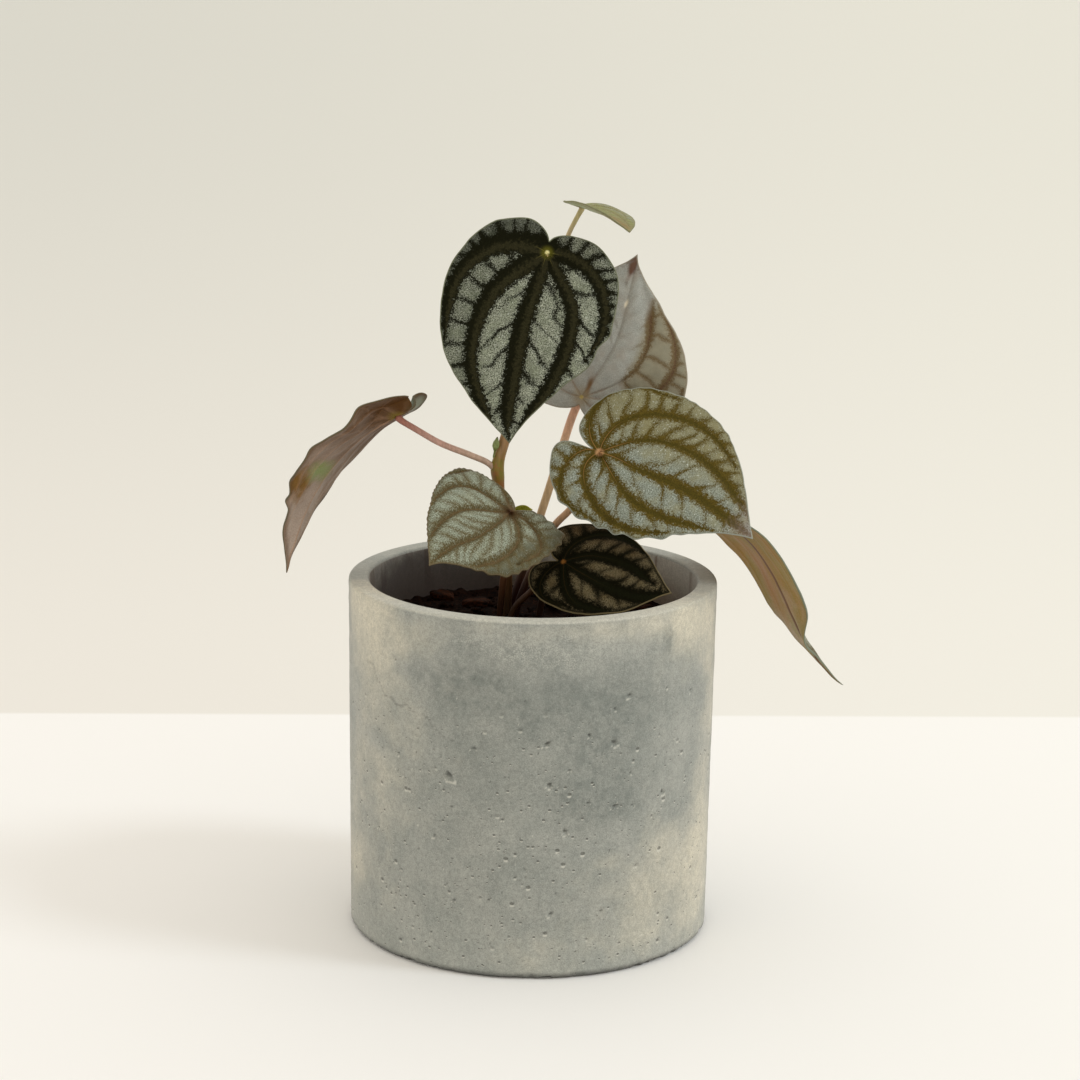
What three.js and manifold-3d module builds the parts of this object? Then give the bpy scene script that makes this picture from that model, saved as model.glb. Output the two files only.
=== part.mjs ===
// A young striped peperomia growing in a cylindrical cast concrete pot.
//
// Millimetres, +Z up. The origin is the centre of the pot's underside, so the pot stands on z = 0.
// -Y is the front, the side that most of the leaves face.
//
// The pot and the potting mix are turned profiles. Every stem and petiole is a round rod swept along
// a smooth curve. Every leaf blade is one heart-shaped outline, filled by rings about its petiole
// point and lifted out of its plane by a few named bends.

import * as THREE from "three";
import { mergeVertices } from "three/addons/utils/BufferGeometryUtils.js";
import Module from "manifold-3d";

const wasm = await Module();
wasm.setup();

// ---------------------------------------------------------------- driving dimensions

const GAP = 0.3; // clearance between pieces that touch

const POT = {
  height: 107,
  rimRadius: 55,
  footRadius: 54.2,
  wall: 6,
  floor: 9,
  innerDraft: 1.5, // the hollow is this much narrower at its floor than at its mouth
  rimRound: 0.9,
  footChamfer: 1.2,
  segments: 72,
};

const MIX_TOP = 91.5; // the potting mix stops 15.5 mm below the rim
const ROOTED_Z = 75.5; // how deep the stems stand in it

const ROD = { sides: 8, stepsPerSpan: 2 };
const BLADE = { thickness: 0.9, rings: 4, stepsPerCurve: 5 };
const ROUND = 0.55; // handle length of the round parts of a leaf outline, as a share of the span
const CREASE = 2; // half-width of the soft crease along a folded midrib

const CONCRETE = { color: 0x9b9c92, roughness: 0.85 };
const MIX = { color: 0x2a1c14, roughness: 0.95 };
const BARK = { color: 0x7a4526, roughness: 0.8 };
const STEM = { color: 0xa9826a, roughness: 0.45 };
const PETIOLE = { color: 0xb5867a, roughness: 0.45 };
const SILVER_LEAF = { color: 0x8d978b, roughness: 0.5 };
const DARK_LEAF = { color: 0x4b4f45, roughness: 0.5 };
const LEAF_BACK = { color: 0x9a7260, roughness: 0.5 };
const BUD = { color: 0x7f9440, roughness: 0.4 };

// ---------------------------------------------------------------- the plant's measures

// A blade is described in its own plane: its petiole point is (0, 0), its tip (0, length), and +X is
// to the right of the midrib as the upper face is looked at. On each side of the midrib,
//   wide   is the widest point,
//   lobe   is how far out and how far below y = 0 the lobe reaches,
//   tip    is the margin's angle to the midrib at the tip, in degrees, and how straight it starts.
// notch is the depth of the slit between the lobes. The bends are
//   arch   the midrib's rise in the middle, as a share of its length,
//   hook   more rise near the petiole and less near the tip,
//   cup    how much both margins sink,
//   fold   the slope at which both halves rise from the midrib,
//   twist  how much the blade turns about its midrib along its length,
//   curl   the slope at which the right half rises beside the petiole.
// base and tip are in the pot's frame, and face is the way that the upper face looks.
const LEAVES = {
  top: {
    base: [2.7, -3, 204.4],
    tip: [-7.5, -10, 149.1],
    face: [0.02, -1, 0.25],
    notch: 3.4,
    left: { wide: [23, 10.1], lobe: [7.4, 6.3], tip: [22, 0.5] },
    right: { wide: [27.8, 17], lobe: [6.1, 8.4], tip: [50, 0.42] },
    bends: { arch: 0.04, cup: 0.25 },
    finish: DARK_LEAF,
  },
  right: {
    base: [18.9, -12, 147.3],
    tip: [63.6, -24, 124.8],
    face: [0, -1, 0.45],
    notch: 2.6,
    left: { wide: [27.3, 14.5], lobe: [7.7, 10.2], tip: [49, 0.4] },
    right: { wide: [19.7, 6.6], lobe: [6, 11.9], tip: [16, 0.5] },
    bends: { arch: 0.06, cup: 0.3 },
    finish: SILVER_LEAF,
  },
  front: {
    base: [-7, -12, 128.9],
    tip: [-30, -30, 116.8],
    face: [-0.25, -1, 0.5],
    notch: 2,
    left: { wide: [17.8, 10.1], lobe: [12.2, 11.3], tip: [23, 0.4] },
    right: { wide: [22.4, 1.6], lobe: [8.7, 5.3], tip: [45, 0.15] },
    bends: { arch: 0.08, cup: 0.2 },
    finish: SILVER_LEAF,
  },
  low: {
    base: [9, -6, 112.8],
    tip: [41, -14, 105.8],
    face: [0, -1, 0.9],
    notch: 2,
    left: { wide: [15.5, 7.2], lobe: [9, 6.5], tip: [37, 0.4] },
    right: { wide: [15.3, 6.8], lobe: [5.7, 8.9], tip: [39, 0.3] },
    bends: { arch: 0.05, cup: 0.2 },
    finish: DARK_LEAF,
  },
  back: {
    base: [13.8, 14, 158.9],
    tip: [29.7, 20, 201.4],
    face: [-0.35, -1, 0.1],
    notch: 2.4,
    left: { wide: [23.2, 15], lobe: [12, 6], tip: [29, 0.4] },
    right: { wide: [29.1, 9.2], lobe: [15, 7], tip: [21, 0.3] },
    bends: { arch: 0.03, cup: 0.2 },
    finish: SILVER_LEAF,
  },
  left: {
    base: [-41.1, 0, 155],
    tip: [-73.5, -2.4, 107.2],
    face: [-0.793, 0.313, 0.523],
    notch: 2.4,
    left: { wide: [21.3, 16], lobe: [8, 8], tip: [17, 0.5] },
    right: { wide: [19, 16], lobe: [8, 8], tip: [17, 0.5] },
    bends: { arch: 0.132, hook: 0.03, fold: 0.05, twist: -0.16, curl: 0.74 },
    finish: LEAF_BACK,
  },
  drooping: {
    base: [51.4, 9, 124.4],
    tip: [94.3, 1.3, 74.2],
    face: [0.74, 0.34, 0.58],
    notch: 2.4,
    left: { wide: [19.8, 18], lobe: [9, 8], tip: [4, 0.55] },
    right: { wide: [18.6, 18], lobe: [9, 8], tip: [4, 0.55] },
    bends: { arch: 0.055, hook: 0.52, cup: 0.14, twist: 0.1 },
    finish: LEAF_BACK,
  },
  crown: {
    base: [13, 10, 216.4],
    tip: [26.4, -10.6, 211.7],
    face: [0.287, -0.033, 0.957],
    notch: 1,
    left: { wide: [8.8, 6], lobe: [3.4, 4], tip: [50, 0.4] },
    right: { wide: [7.3, 6], lobe: [3.4, 4], tip: [50, 0.4] },
    bends: { arch: 0.04, hook: -0.05, fold: 0.25, twist: 0.23 },
    finish: SILVER_LEAF,
  },
  // A leaf that is only just opening, low on the main stem.
  young: {
    base: [-7.2, 3.6, 123.6],
    tip: [-0.6, -0.4, 126.6],
    face: [-0.2, -0.5, 0.85],
    notch: 0.5,
    left: { wide: [2.6, 2.6], lobe: [1.2, 1.2], tip: [40, 0.4] },
    right: { wide: [2.6, 2.6], lobe: [1.2, 1.2], tip: [40, 0.4] },
    bends: { fold: 0.4 },
    finish: BUD,
  },
};

const MAIN_STEM = {
  radius: 1.6,
  points: [
    [-8.4, 7.4, ROOTED_Z],
    [-8, 7, 93.5],
    [-7.9, 6.5, 107],
    [-9.6, 6, 122.6],
    [-10.8, 6, 134.8],
    [-11.1, 6, 139.1],
    [-9.1, 6, 146.7],
    [-4.7, 6.5, 162.1],
    [-0.4, 7.8, 178],
  ],
};

// The leaf stalks, from foot to blade. A rooted one stands in the potting mix, the others leave the
// main stem.
const PETIOLES = {
  top: {
    rooted: false,
    radius: 1,
    points: [
      [-1.8, 7, 174.4],
      [0, 4.6, 181],
      [2, 1.6, 192],
      [2.6, -0.8, 201],
      [2.7, -3, 204.6],
    ],
  },
  right: {
    rooted: true,
    radius: 1.1,
    points: [
      [-5.2, 8.2, ROOTED_Z],
      [-5, 8.4, 93.3],
      [-0.9, 8.6, 105.7],
      [3.5, 8.4, 116],
      [6.7, 7.4, 121.4],
      [11.1, 4.4, 126.9],
      [16, -1, 136.8],
      [18.6, -8, 145],
      [18.9, -12, 147.6],
    ],
  },
  front: {
    rooted: true,
    radius: 1,
    points: [
      [-10.4, 2.2, ROOTED_Z],
      [-9.8, 2, 94.8],
      [-8.7, 0, 107.1],
      [-7.6, -4, 117.5],
      [-7, -9, 126.4],
      [-7, -12, 129.2],
    ],
  },
  low: {
    rooted: true,
    radius: 0.95,
    points: [
      [-6.9, 1.4, ROOTED_Z],
      [-6.1, 1.5, 95],
      [-0.5, -0.4, 102.3],
      [4.5, -2, 108],
      [8.4, -4.6, 111.6],
      [9, -6, 113],
    ],
  },
  back: {
    rooted: true,
    radius: 1.25,
    points: [
      [-8.4, 13, ROOTED_Z],
      [-7.4, 13.4, 92],
      [-4, 13.6, 102.4],
      [2, 14.4, 122.5],
      [7.6, 16.4, 140.8],
      [11, 18, 152],
      [13.2, 16.6, 157.6],
      [13.8, 14, 159.2],
    ],
  },
  left: {
    rooted: false,
    radius: 0.95,
    points: [
      [-11.4, 6, 137.6],
      [-14, 5, 140.2],
      [-19.3, 4, 142.7],
      [-28.2, 2, 146.6],
      [-35.6, 1, 151],
      [-39.6, 0, 153.6],
      [-41.1, 0, 155],
    ],
  },
  drooping: {
    rooted: true,
    radius: 1,
    points: [
      [2, 11.5, ROOTED_Z],
      [2.2, 11.6, 93],
      [5.4, 11.8, 104],
      [14.1, 12, 113.4],
      [26, 12, 118.6],
      [39.4, 11, 120.4],
      [47, 9.6, 121.4],
      [50.6, 9, 123],
      [51.4, 9, 124.6],
    ],
  },
  crown: {
    rooted: false,
    radius: 0.7,
    points: [
      [0.1, 8.6, 177.8],
      [1, 8.9, 182.6],
      [4.6, 9.4, 194.8],
      [9.1, 10, 208.6],
      [12.4, 10, 215.2],
      [13, 10, 216.6],
    ],
  },
};

// A bud on a thin stalk, in the axil of the left leaf.
const NODE_BUD = {
  foot: [-12.3, 4.4, 141.9],
  tip: [-11.2, 3.8, 148.4],
  profile: [
    [0, 0],
    [0.3, 0.1],
    [0.3, 2],
    [0.95, 3.4],
    [0.9, 5],
    [0, 6.6],
  ],
};

// Bark chips that lie on the potting mix: where each lies, its half-length and its turn in degrees.
const CHIPS = [
  { at: [-17, 22], half: 4.4, turn: 20 },
  { at: [7, 24], half: 4, turn: 75 },
  { at: [-28, 30], half: 4.8, turn: 130 },
  { at: [20, 26], half: 4.6, turn: 160 },
  { at: [33, 17], half: 3.8, turn: 40 },
  { at: [-38, 8], half: 4.2, turn: 100 },
  { at: [-27, -12], half: 5, turn: 15 },
  { at: [-9, -24], half: 4.2, turn: 60 },
  { at: [13, -14], half: 4.6, turn: 145 },
  { at: [32, -10], half: 4.2, turn: 85 },
  { at: [18, -34], half: 4.8, turn: 30 },
  { at: [-14, -38], half: 4, turn: 170 },
];
const CHIP = { thickness: 2.2, slimness: 0.62, corners: 7, bevel: 0.5 };

// ---------------------------------------------------------------- solids

const vec = (p) => new THREE.Vector3(...p);

// A closed geometry as a solid that can be joined and cut.
function toSolid(geometry) {
  const bare = geometry.index ? geometry.toNonIndexed() : geometry.clone();
  bare.deleteAttribute("normal");
  bare.deleteAttribute("uv");
  const merged = mergeVertices(bare, 1e-4);
  const mesh = new wasm.Mesh({
    numProp: 3,
    vertProperties: new Float32Array(merged.attributes.position.array),
    triVerts: new Uint32Array(merged.index.array),
  });
  return new wasm.Manifold(mesh);
}

// A solid as a geometry again.
function toGeometry(solid) {
  const mesh = solid.getMesh();
  const geometry = new THREE.BufferGeometry();
  geometry.setAttribute("position", new THREE.BufferAttribute(mesh.vertProperties, 3));
  geometry.setIndex(new THREE.BufferAttribute(mesh.triVerts, 1));
  geometry.computeVertexNormals();
  return geometry;
}

// The largest of the bodies that a cut has left.
function largestBody(solid) {
  return solid.decompose().reduce((a, b) => (b.volume() > a.volume() ? b : a));
}

// A profile of [radius, height] points turned about +Z.
function turned(profile, segments) {
  const points = profile.map(([radius, height]) => new THREE.Vector2(radius, height));
  return new THREE.LatheGeometry(points, segments).rotateX(Math.PI / 2);
}

// A round rod of constant radius along a smooth curve through the points.
function rod(points, radius) {
  const section = [];
  for (let i = 0; i < ROD.sides; i++) {
    const turn = (2 * Math.PI * i) / ROD.sides;
    section.push(new THREE.Vector2(radius * Math.cos(turn), radius * Math.sin(turn)));
  }
  return new THREE.ExtrudeGeometry(new THREE.Shape(section), {
    extrudePath: new THREE.CatmullRomCurve3(points.map(vec), false, "centripetal"),
    steps: ROD.stepsPerSpan * (points.length - 1),
  });
}

// ---------------------------------------------------------------- leaf blades

// One side of the outline as three cubic curves, from the tip over the widest point and the bottom
// of the lobe to the notch. Each curve is a list of its four points.
function outlineSide(side, notch, length, sign) {
  const [w, yw] = side.wide;
  const [xl, yl] = side.lobe;
  const angle = THREE.MathUtils.degToRad(side.tip[0]);
  const reach = side.tip[1] * (length - yw);
  const fromTip = [reach * Math.sin(angle), length - reach * Math.cos(angle)];
  const tipToWide = [[0, length], fromTip, [w, yw + ROUND * (length - yw)], [w, yw]];
  const wideToLobe = [[w, yw], [w, yw - ROUND * (yw + yl)], [xl + ROUND * (w - xl), -yl], [xl, -yl]];
  const intoNotch = [0.12 * xl, -notch - 0.6 * (yl - notch)];
  const lobeToNotch = [[xl, -yl], [xl - ROUND * xl, -yl], intoNotch, [0, -notch]];
  return [tipToWide, wideToLobe, lobeToNotch].map((curve) => curve.map(([x, y]) => [sign * x, y]));
}

// The whole outline as points, counter-clockwise from the tip: down the left side, up the right.
function outline(leaf, length) {
  const left = outlineSide(leaf.left, leaf.notch, length, -1);
  const right = outlineSide(leaf.right, leaf.notch, length, 1);
  const upRight = right.reverse().map((curve) => curve.reverse());
  const shape = new THREE.Shape();
  shape.moveTo(0, length);
  for (const [, a, b, end] of [...left, ...upRight]) shape.bezierCurveTo(...a, ...b, ...end);
  return shape.getPoints(BLADE.stepsPerCurve).slice(0, -1);
}

// How far the blade stands out of its plane at (x, y), towards its upper face.
function lift(leaf, length, x, y) {
  const { arch = 0, hook = 0, cup = 0, fold = 0, twist = 0, curl = 0 } = leaf.bends;
  const t = y / length;
  const rise = Math.hypot(x, CREASE) - CREASE;
  const besidePetiole = 1 - THREE.MathUtils.smoothstep(t, -0.1, 0.35);
  const midrib = length * t * (1 - t) * (4 * arch + hook * (1 - 2 * t));
  const curled = x > 0 ? curl * besidePetiole * rise : 0;
  return midrib - (cup * x * x) / length + fold * rise + twist * x * (t - 0.3) + curled;
}

// The closed blade between two heights, measured from its middle surface towards the upper face.
function blade(leaf, low, high) {
  const base = vec(leaf.base);
  const along = vec(leaf.tip).sub(base);
  const length = along.length();
  along.normalize();
  const up = vec(leaf.face);
  up.addScaledVector(along, -up.dot(along)).normalize();
  const across = new THREE.Vector3().crossVectors(along, up);
  const margin = outline(leaf, length);
  const count = margin.length;
  const positions = [];
  const place = (x, y, offset) => {
    const p = base.clone().addScaledVector(across, x).addScaledVector(along, y);
    p.addScaledVector(up, lift(leaf, length, x, y) + offset);
    positions.push(p.x, p.y, p.z);
  };
  for (const offset of [high, low]) {
    place(0, 0, offset);
    for (let ring = 1; ring <= BLADE.rings; ring++) {
      const share = ring / BLADE.rings;
      for (const m of margin) place(share * m.x, share * m.y, offset);
    }
  }

  // Vertex number on a face (0 upper, 1 lower), a ring (0 is the petiole point) and a spoke.
  const perFace = 1 + BLADE.rings * count;
  const at = (face, ring, spoke) => {
    const inRing = ring === 0 ? 0 : 1 + (ring - 1) * count + (spoke % count);
    return face * perFace + inRing;
  };
  const indices = [];
  for (const face of [0, 1]) {
    const triangle = (a, b, c) => indices.push(...(face === 0 ? [a, b, c] : [a, c, b]));
    for (let j = 0; j < count; j++) {
      triangle(at(face, 0, 0), at(face, 1, j), at(face, 1, j + 1));
      for (let ring = 1; ring < BLADE.rings; ring++) {
        triangle(at(face, ring, j), at(face, ring + 1, j), at(face, ring + 1, j + 1));
        triangle(at(face, ring, j), at(face, ring + 1, j + 1), at(face, ring, j + 1));
      }
    }
  }
  for (let j = 0; j < count; j++) {
    const [upper, upperNext] = [at(0, BLADE.rings, j), at(0, BLADE.rings, j + 1)];
    const [lower, lowerNext] = [at(1, BLADE.rings, j), at(1, BLADE.rings, j + 1)];
    indices.push(upper, lower, lowerNext, upper, lowerNext, upperNext);
  }
  const geometry = new THREE.BufferGeometry();
  geometry.setAttribute("position", new THREE.Float32BufferAttribute(positions, 3));
  geometry.setIndex(indices);
  return geometry;
}

const wholeBlade = (leaf) => blade(leaf, -BLADE.thickness / 2, BLADE.thickness / 2);

// The blade with the clearance that its petiole keeps, and all the space above it. The blade is steep
// near its petiole, so the clearance is taken half as large again.
function aboveBlade(leaf) {
  return toSolid(blade(leaf, -BLADE.thickness / 2 - 1.5 * GAP, 5 * BLADE.thickness));
}

// ---------------------------------------------------------------- pot, mix, chips and buds

const MOUTH_RADIUS = POT.rimRadius - POT.wall;

// The pot: one casting, open at the top, with softened edges.
function pot() {
  const profile = [
    [0, 0],
    [POT.footRadius - POT.footChamfer, 0],
    [POT.footRadius, POT.footChamfer],
    [POT.rimRadius, POT.height - POT.rimRound],
    [POT.rimRadius - POT.rimRound, POT.height],
    [MOUTH_RADIUS + POT.rimRound, POT.height],
    [MOUTH_RADIUS, POT.height - POT.rimRound],
    [MOUTH_RADIUS - POT.innerDraft, POT.floor],
    [0, POT.floor],
  ];
  return turned(profile, POT.segments);
}

// The potting mix fills the pot's hollow to MIX_TOP, with a socket round each rooted stem.
function pottingMix(rooted) {
  const foot = POT.floor + GAP;
  const depth = POT.height - POT.rimRound - POT.floor;
  const wallRadius = (z) => MOUTH_RADIUS - (POT.innerDraft * (POT.height - POT.rimRound - z)) / depth;
  const profile = [
    [0, foot],
    [wallRadius(foot) - GAP, foot],
    [wallRadius(MIX_TOP) - GAP, MIX_TOP],
    [0, MIX_TOP],
  ];
  const sockets = rooted.map(({ points: [[x, y, z], ...rest], radius }) =>
    toSolid(rod([[x, y, z - GAP], ...rest], radius + GAP)),
  );
  const full = toSolid(turned(profile, POT.segments));
  return toGeometry(sockets.reduce((mix, socket) => mix.subtract(socket), full));
}

// A bark chip: a slim ragged flake with bevelled edges, lying flat.
function barkChip({ at, half, turn }) {
  const corners = [];
  for (let i = 0; i < CHIP.corners; i++) {
    const angle = (2 * Math.PI * i) / CHIP.corners;
    const radius = half * (1 + 0.16 * Math.sin(3 * angle + half) + 0.1 * Math.cos(5 * angle + turn));
    const across = CHIP.slimness * radius;
    corners.push(new THREE.Vector2(radius * Math.cos(angle), across * Math.sin(angle)));
  }
  const flake = new THREE.ExtrudeGeometry(new THREE.Shape(corners), {
    depth: CHIP.thickness - 2 * CHIP.bevel,
    bevelThickness: CHIP.bevel,
    bevelSize: CHIP.bevel,
    bevelOffset: -CHIP.bevel,
    bevelSegments: 1,
    steps: 1,
  });
  flake.rotateZ(THREE.MathUtils.degToRad(turn));
  return flake.translate(at[0], at[1], MIX_TOP + GAP + CHIP.bevel);
}

// The bud: a turned profile stood along foot -> tip.
function nodeBud() {
  const axis = vec(NODE_BUD.tip).sub(vec(NODE_BUD.foot)).normalize();
  const stand = new THREE.Quaternion().setFromUnitVectors(new THREE.Vector3(0, 0, 1), axis);
  return turned(NODE_BUD.profile, ROD.sides).applyQuaternion(stand).translate(...NODE_BUD.foot);
}

// ---------------------------------------------------------------- assembly

const plant = new THREE.Group();

function add(name, geometry, finish) {
  const mesh = new THREE.Mesh(geometry, new THREE.MeshStandardMaterial({ ...finish, metalness: 0 }));
  mesh.name = name;
  plant.add(mesh);
}

add("pot", pot(), CONCRETE);
const rootedStems = [MAIN_STEM, ...Object.values(PETIOLES).filter((petiole) => petiole.rooted)];
add("potting_mix", pottingMix(rootedStems), MIX);
add("main_stem", rod(MAIN_STEM.points, MAIN_STEM.radius), STEM);

// A petiole stops short of its blade's lower face and of the main stem that it leaves.
const stemEnd = MAIN_STEM.points.at(-1);
const aboveEnd = [...stemEnd.slice(0, 2), stemEnd[2] + GAP];
const nearMainStem = toSolid(rod([...MAIN_STEM.points.slice(0, -1), aboveEnd], MAIN_STEM.radius + GAP));
for (const [name, { rooted, radius, points }] of Object.entries(PETIOLES)) {
  const clearOfBlade = toSolid(rod(points, radius)).subtract(aboveBlade(LEAVES[name]));
  const petiole = rooted ? clearOfBlade : clearOfBlade.subtract(nearMainStem);
  add(`${name}_petiole`, toGeometry(largestBody(petiole)), PETIOLE);
}

for (const [name, leaf] of Object.entries(LEAVES)) add(`${name}_leaf`, wholeBlade(leaf), leaf.finish);
add("node_bud", nodeBud(), BUD);
CHIPS.forEach((chip, i) => add(`bark_chip_${i + 1}`, barkChip(chip), BARK));

export default plant;
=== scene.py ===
# %% [markdown]
# # A potted peperomia
# A young peperomia with heart-shaped leaves stands in a cast concrete cylinder. This lesson builds
# its looks round the CAD frame: a cast pot with bubbles and stains, dark potting mix with bark, fleshy
# stems, and nine leaves whose silver panels lie between sunken veins.
# Every surface is a function of two parameters worked out on a grid with numpy. Sizes are in
# millimetres in this script and become metres only when a mesh is made.

# %% Load the frame
import math

import bpy
import numpy as np
from mathutils import Matrix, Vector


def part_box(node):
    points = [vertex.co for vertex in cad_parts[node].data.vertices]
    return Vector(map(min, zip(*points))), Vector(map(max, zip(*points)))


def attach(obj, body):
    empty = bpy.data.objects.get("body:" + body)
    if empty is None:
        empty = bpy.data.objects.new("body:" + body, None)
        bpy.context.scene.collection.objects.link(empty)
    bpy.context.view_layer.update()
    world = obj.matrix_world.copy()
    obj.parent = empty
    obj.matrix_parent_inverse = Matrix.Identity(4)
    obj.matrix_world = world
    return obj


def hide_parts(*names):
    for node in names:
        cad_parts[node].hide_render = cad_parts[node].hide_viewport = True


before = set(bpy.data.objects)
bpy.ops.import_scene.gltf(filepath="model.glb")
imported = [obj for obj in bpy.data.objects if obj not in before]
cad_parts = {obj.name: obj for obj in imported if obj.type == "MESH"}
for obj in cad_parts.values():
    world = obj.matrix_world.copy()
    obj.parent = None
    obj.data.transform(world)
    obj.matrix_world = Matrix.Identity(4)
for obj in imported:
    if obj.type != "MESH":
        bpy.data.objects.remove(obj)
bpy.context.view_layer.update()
MM = 0.001

# %% [markdown]
# The camera stands 0.85 m from the pot with a long lens, looks 13 degrees down and leans by just
# under a degree. A long lens keeps the pot's sides nearly parallel. The angles are turned into the
# three directions of the view, which are the columns of the camera's matrix.

# %% The camera
LENS = 95.0
SENSOR = 36.0
DISTANCE = 850.0  # from the lens to what it aims at
LOOK_DOWN = math.radians(13.1)
LEAN = math.radians(0.9)
AIM = np.array([1.93, 0.0, 118.0])


def camera_axes(down, lean):
    """Right, up and forward of a view along +Y that looks down by one angle and leans by the other:
    forward = (0, cos down, -sin down), and right and up are turned about it by the lean."""
    forward = np.array([0, math.cos(down), -math.sin(down)])
    level = np.array([1.0, 0.0, 0.0])
    upright = np.array([0, math.sin(down), math.cos(down)])
    right = math.cos(lean) * level + math.sin(lean) * upright
    up = math.cos(lean) * upright - math.sin(lean) * level
    return right, up, forward


view_right, view_up, view_forward = camera_axes(LOOK_DOWN, LEAN)
stand = (AIM - DISTANCE * view_forward) * MM
camera_data = bpy.data.cameras.new("camera")
camera_data.lens = LENS
camera_data.sensor_width = SENSOR
camera = bpy.data.objects.new("camera", camera_data)
columns = np.column_stack([view_right, view_up, -view_forward])
camera.matrix_world = Matrix.Translation(stand) @ Matrix(columns.tolist()).to_4x4()
bpy.context.scene.collection.objects.link(camera)
bpy.context.scene.camera = camera
print("camera at", np.round(stand, 4))

# %% [markdown]
# ## Helpers for shapes
# Every piece here is a stack of closed rings between two end points, so one function makes all the
# meshes. It is a skin: rings joined by four-sided faces, with a fan of triangles at each end.
# The sign of the enclosed volume says whether the faces point outwards, and turns them if not.


# %% A closed skin from a stack of rings
def ring_faces(rows, columns):
    """Corner numbers of a skin's faces. Point 0 is the first end, then come rows of columns points,
    and the last point is the other end. Face (r, c) joins ring r to ring r + 1, round and round."""
    row, column = np.meshgrid(np.arange(rows - 1), np.arange(columns), indexing="ij")
    following = (column + 1) % columns
    first = 1 + row * columns
    quads = np.stack(
        [first + column, first + following, first + columns + following, first + columns + column],
        axis=-1,
    ).reshape(-1, 4)
    around = np.arange(columns)
    beyond = (around + 1) % columns
    last = rows * columns + 1
    start = last - columns
    top = np.stack([np.zeros(columns, int), 1 + beyond, 1 + around], axis=-1)
    bottom = np.stack([np.full(columns, last), start + around, start + beyond], axis=-1)
    return quads, np.concatenate([top, bottom])


def enclosed_volume(points, triangles):
    """Sum over the triangles of a . (b x c) / 6: positive where the faces point outwards."""
    a, b, c = (points[triangles[:, i]] for i in range(3))
    return float(np.einsum("ij,ij->", a, np.cross(b, c)) / 6)


def make_mesh(name, points, quads, triangles, values, bands=None):
    """A smooth Blender mesh in metres from points in mm, with one named attribute for each value."""
    split = np.concatenate([quads[:, [0, 1, 2]], quads[:, [0, 2, 3]], triangles])
    if enclosed_volume(points, split) < 0:
        quads = quads[:, ::-1]
        triangles = triangles[:, ::-1]
    corners = np.concatenate([quads.ravel(), triangles.ravel()]).astype(np.int32)
    totals = np.concatenate([np.full(len(quads), 4), np.full(len(triangles), 3)])
    starts = np.concatenate([[0], np.cumsum(totals)[:-1]])
    mesh = bpy.data.meshes.new(name)
    mesh.vertices.add(len(points))
    mesh.loops.add(len(corners))
    mesh.polygons.add(len(totals))
    mesh.vertices.foreach_set("co", (points * MM).astype(np.float32).ravel())
    mesh.loops.foreach_set("vertex_index", corners)
    mesh.polygons.foreach_set("loop_start", starts.astype(np.int32))
    mesh.polygons.foreach_set("use_smooth", np.ones(len(totals), bool))
    if bands is not None:
        mesh.polygons.foreach_set("material_index", bands.astype(np.int32))
    mesh.update(calc_edges=True)
    for key, value in values.items():
        kind = ("FLOAT_VECTOR", "vector") if value.ndim == 2 else ("FLOAT", "value")
        attribute = mesh.attributes.new(key, kind[0], "POINT")
        attribute.data.foreach_set(kind[1], value.astype(np.float32).ravel())
    return mesh


def with_ends(grid):
    """A grid of rings as one list, with the mean of its first ring before it and of its last after."""
    first, last = grid[0].mean(0), grid[-1].mean(0)
    return np.concatenate([first[None], grid.reshape(-1, *grid.shape[2:]), last[None]])


def skin(name, rings, values=None, row_bands=None):
    """A closed mesh from rings of shape (rows, columns, 3), with values at each of their points.
    row_bands numbers each ring's material."""
    rows, columns = rings.shape[:2]
    named = {key: with_ends(value) for key, value in (values or {}).items()}
    quads, triangles = ring_faces(rows, columns)
    bands = None
    if row_bands is not None:
        of_quads = np.repeat(row_bands[:-1], columns)
        of_ends = np.repeat([row_bands[0], row_bands[-1]], columns)
        bands = np.concatenate([of_quads, of_ends])
    return make_mesh(name, with_ends(rings), quads, triangles, named, bands)


def place_piece(mesh, materials, slot, *nodes):
    """The mesh as a piece of the object: it rides on the one body and stands for its CAD nodes.
    A face with n corners makes n - 2 triangles, so a mesh of them has corners - 2 x faces."""
    piece = bpy.data.objects.new(mesh.name, mesh)
    bpy.context.scene.collection.objects.link(piece)
    for material in materials:
        mesh.materials.append(material)
    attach(piece, "root")
    if nodes:
        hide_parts(*nodes)
    print(f"{mesh.name}: {len(mesh.loops) - 2 * len(mesh.polygons)} triangles")


# %% [markdown]
# Natural surfaces are uneven at several scales at once. Smooth noise gives each corner of a cubic
# lattice its own value and blends the eight corners round a point, so neighbours are alike and
# distant points aren't. The other helpers here are an S-shaped step, a turn about the upright axis
# and smooth curves through or between a few points.


# %% Smooth noise, soft steps and curves
LATTICE_VALUES = 4096
LATTICE_PRIMES = (73856093, 19349663, 83492791)


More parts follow.
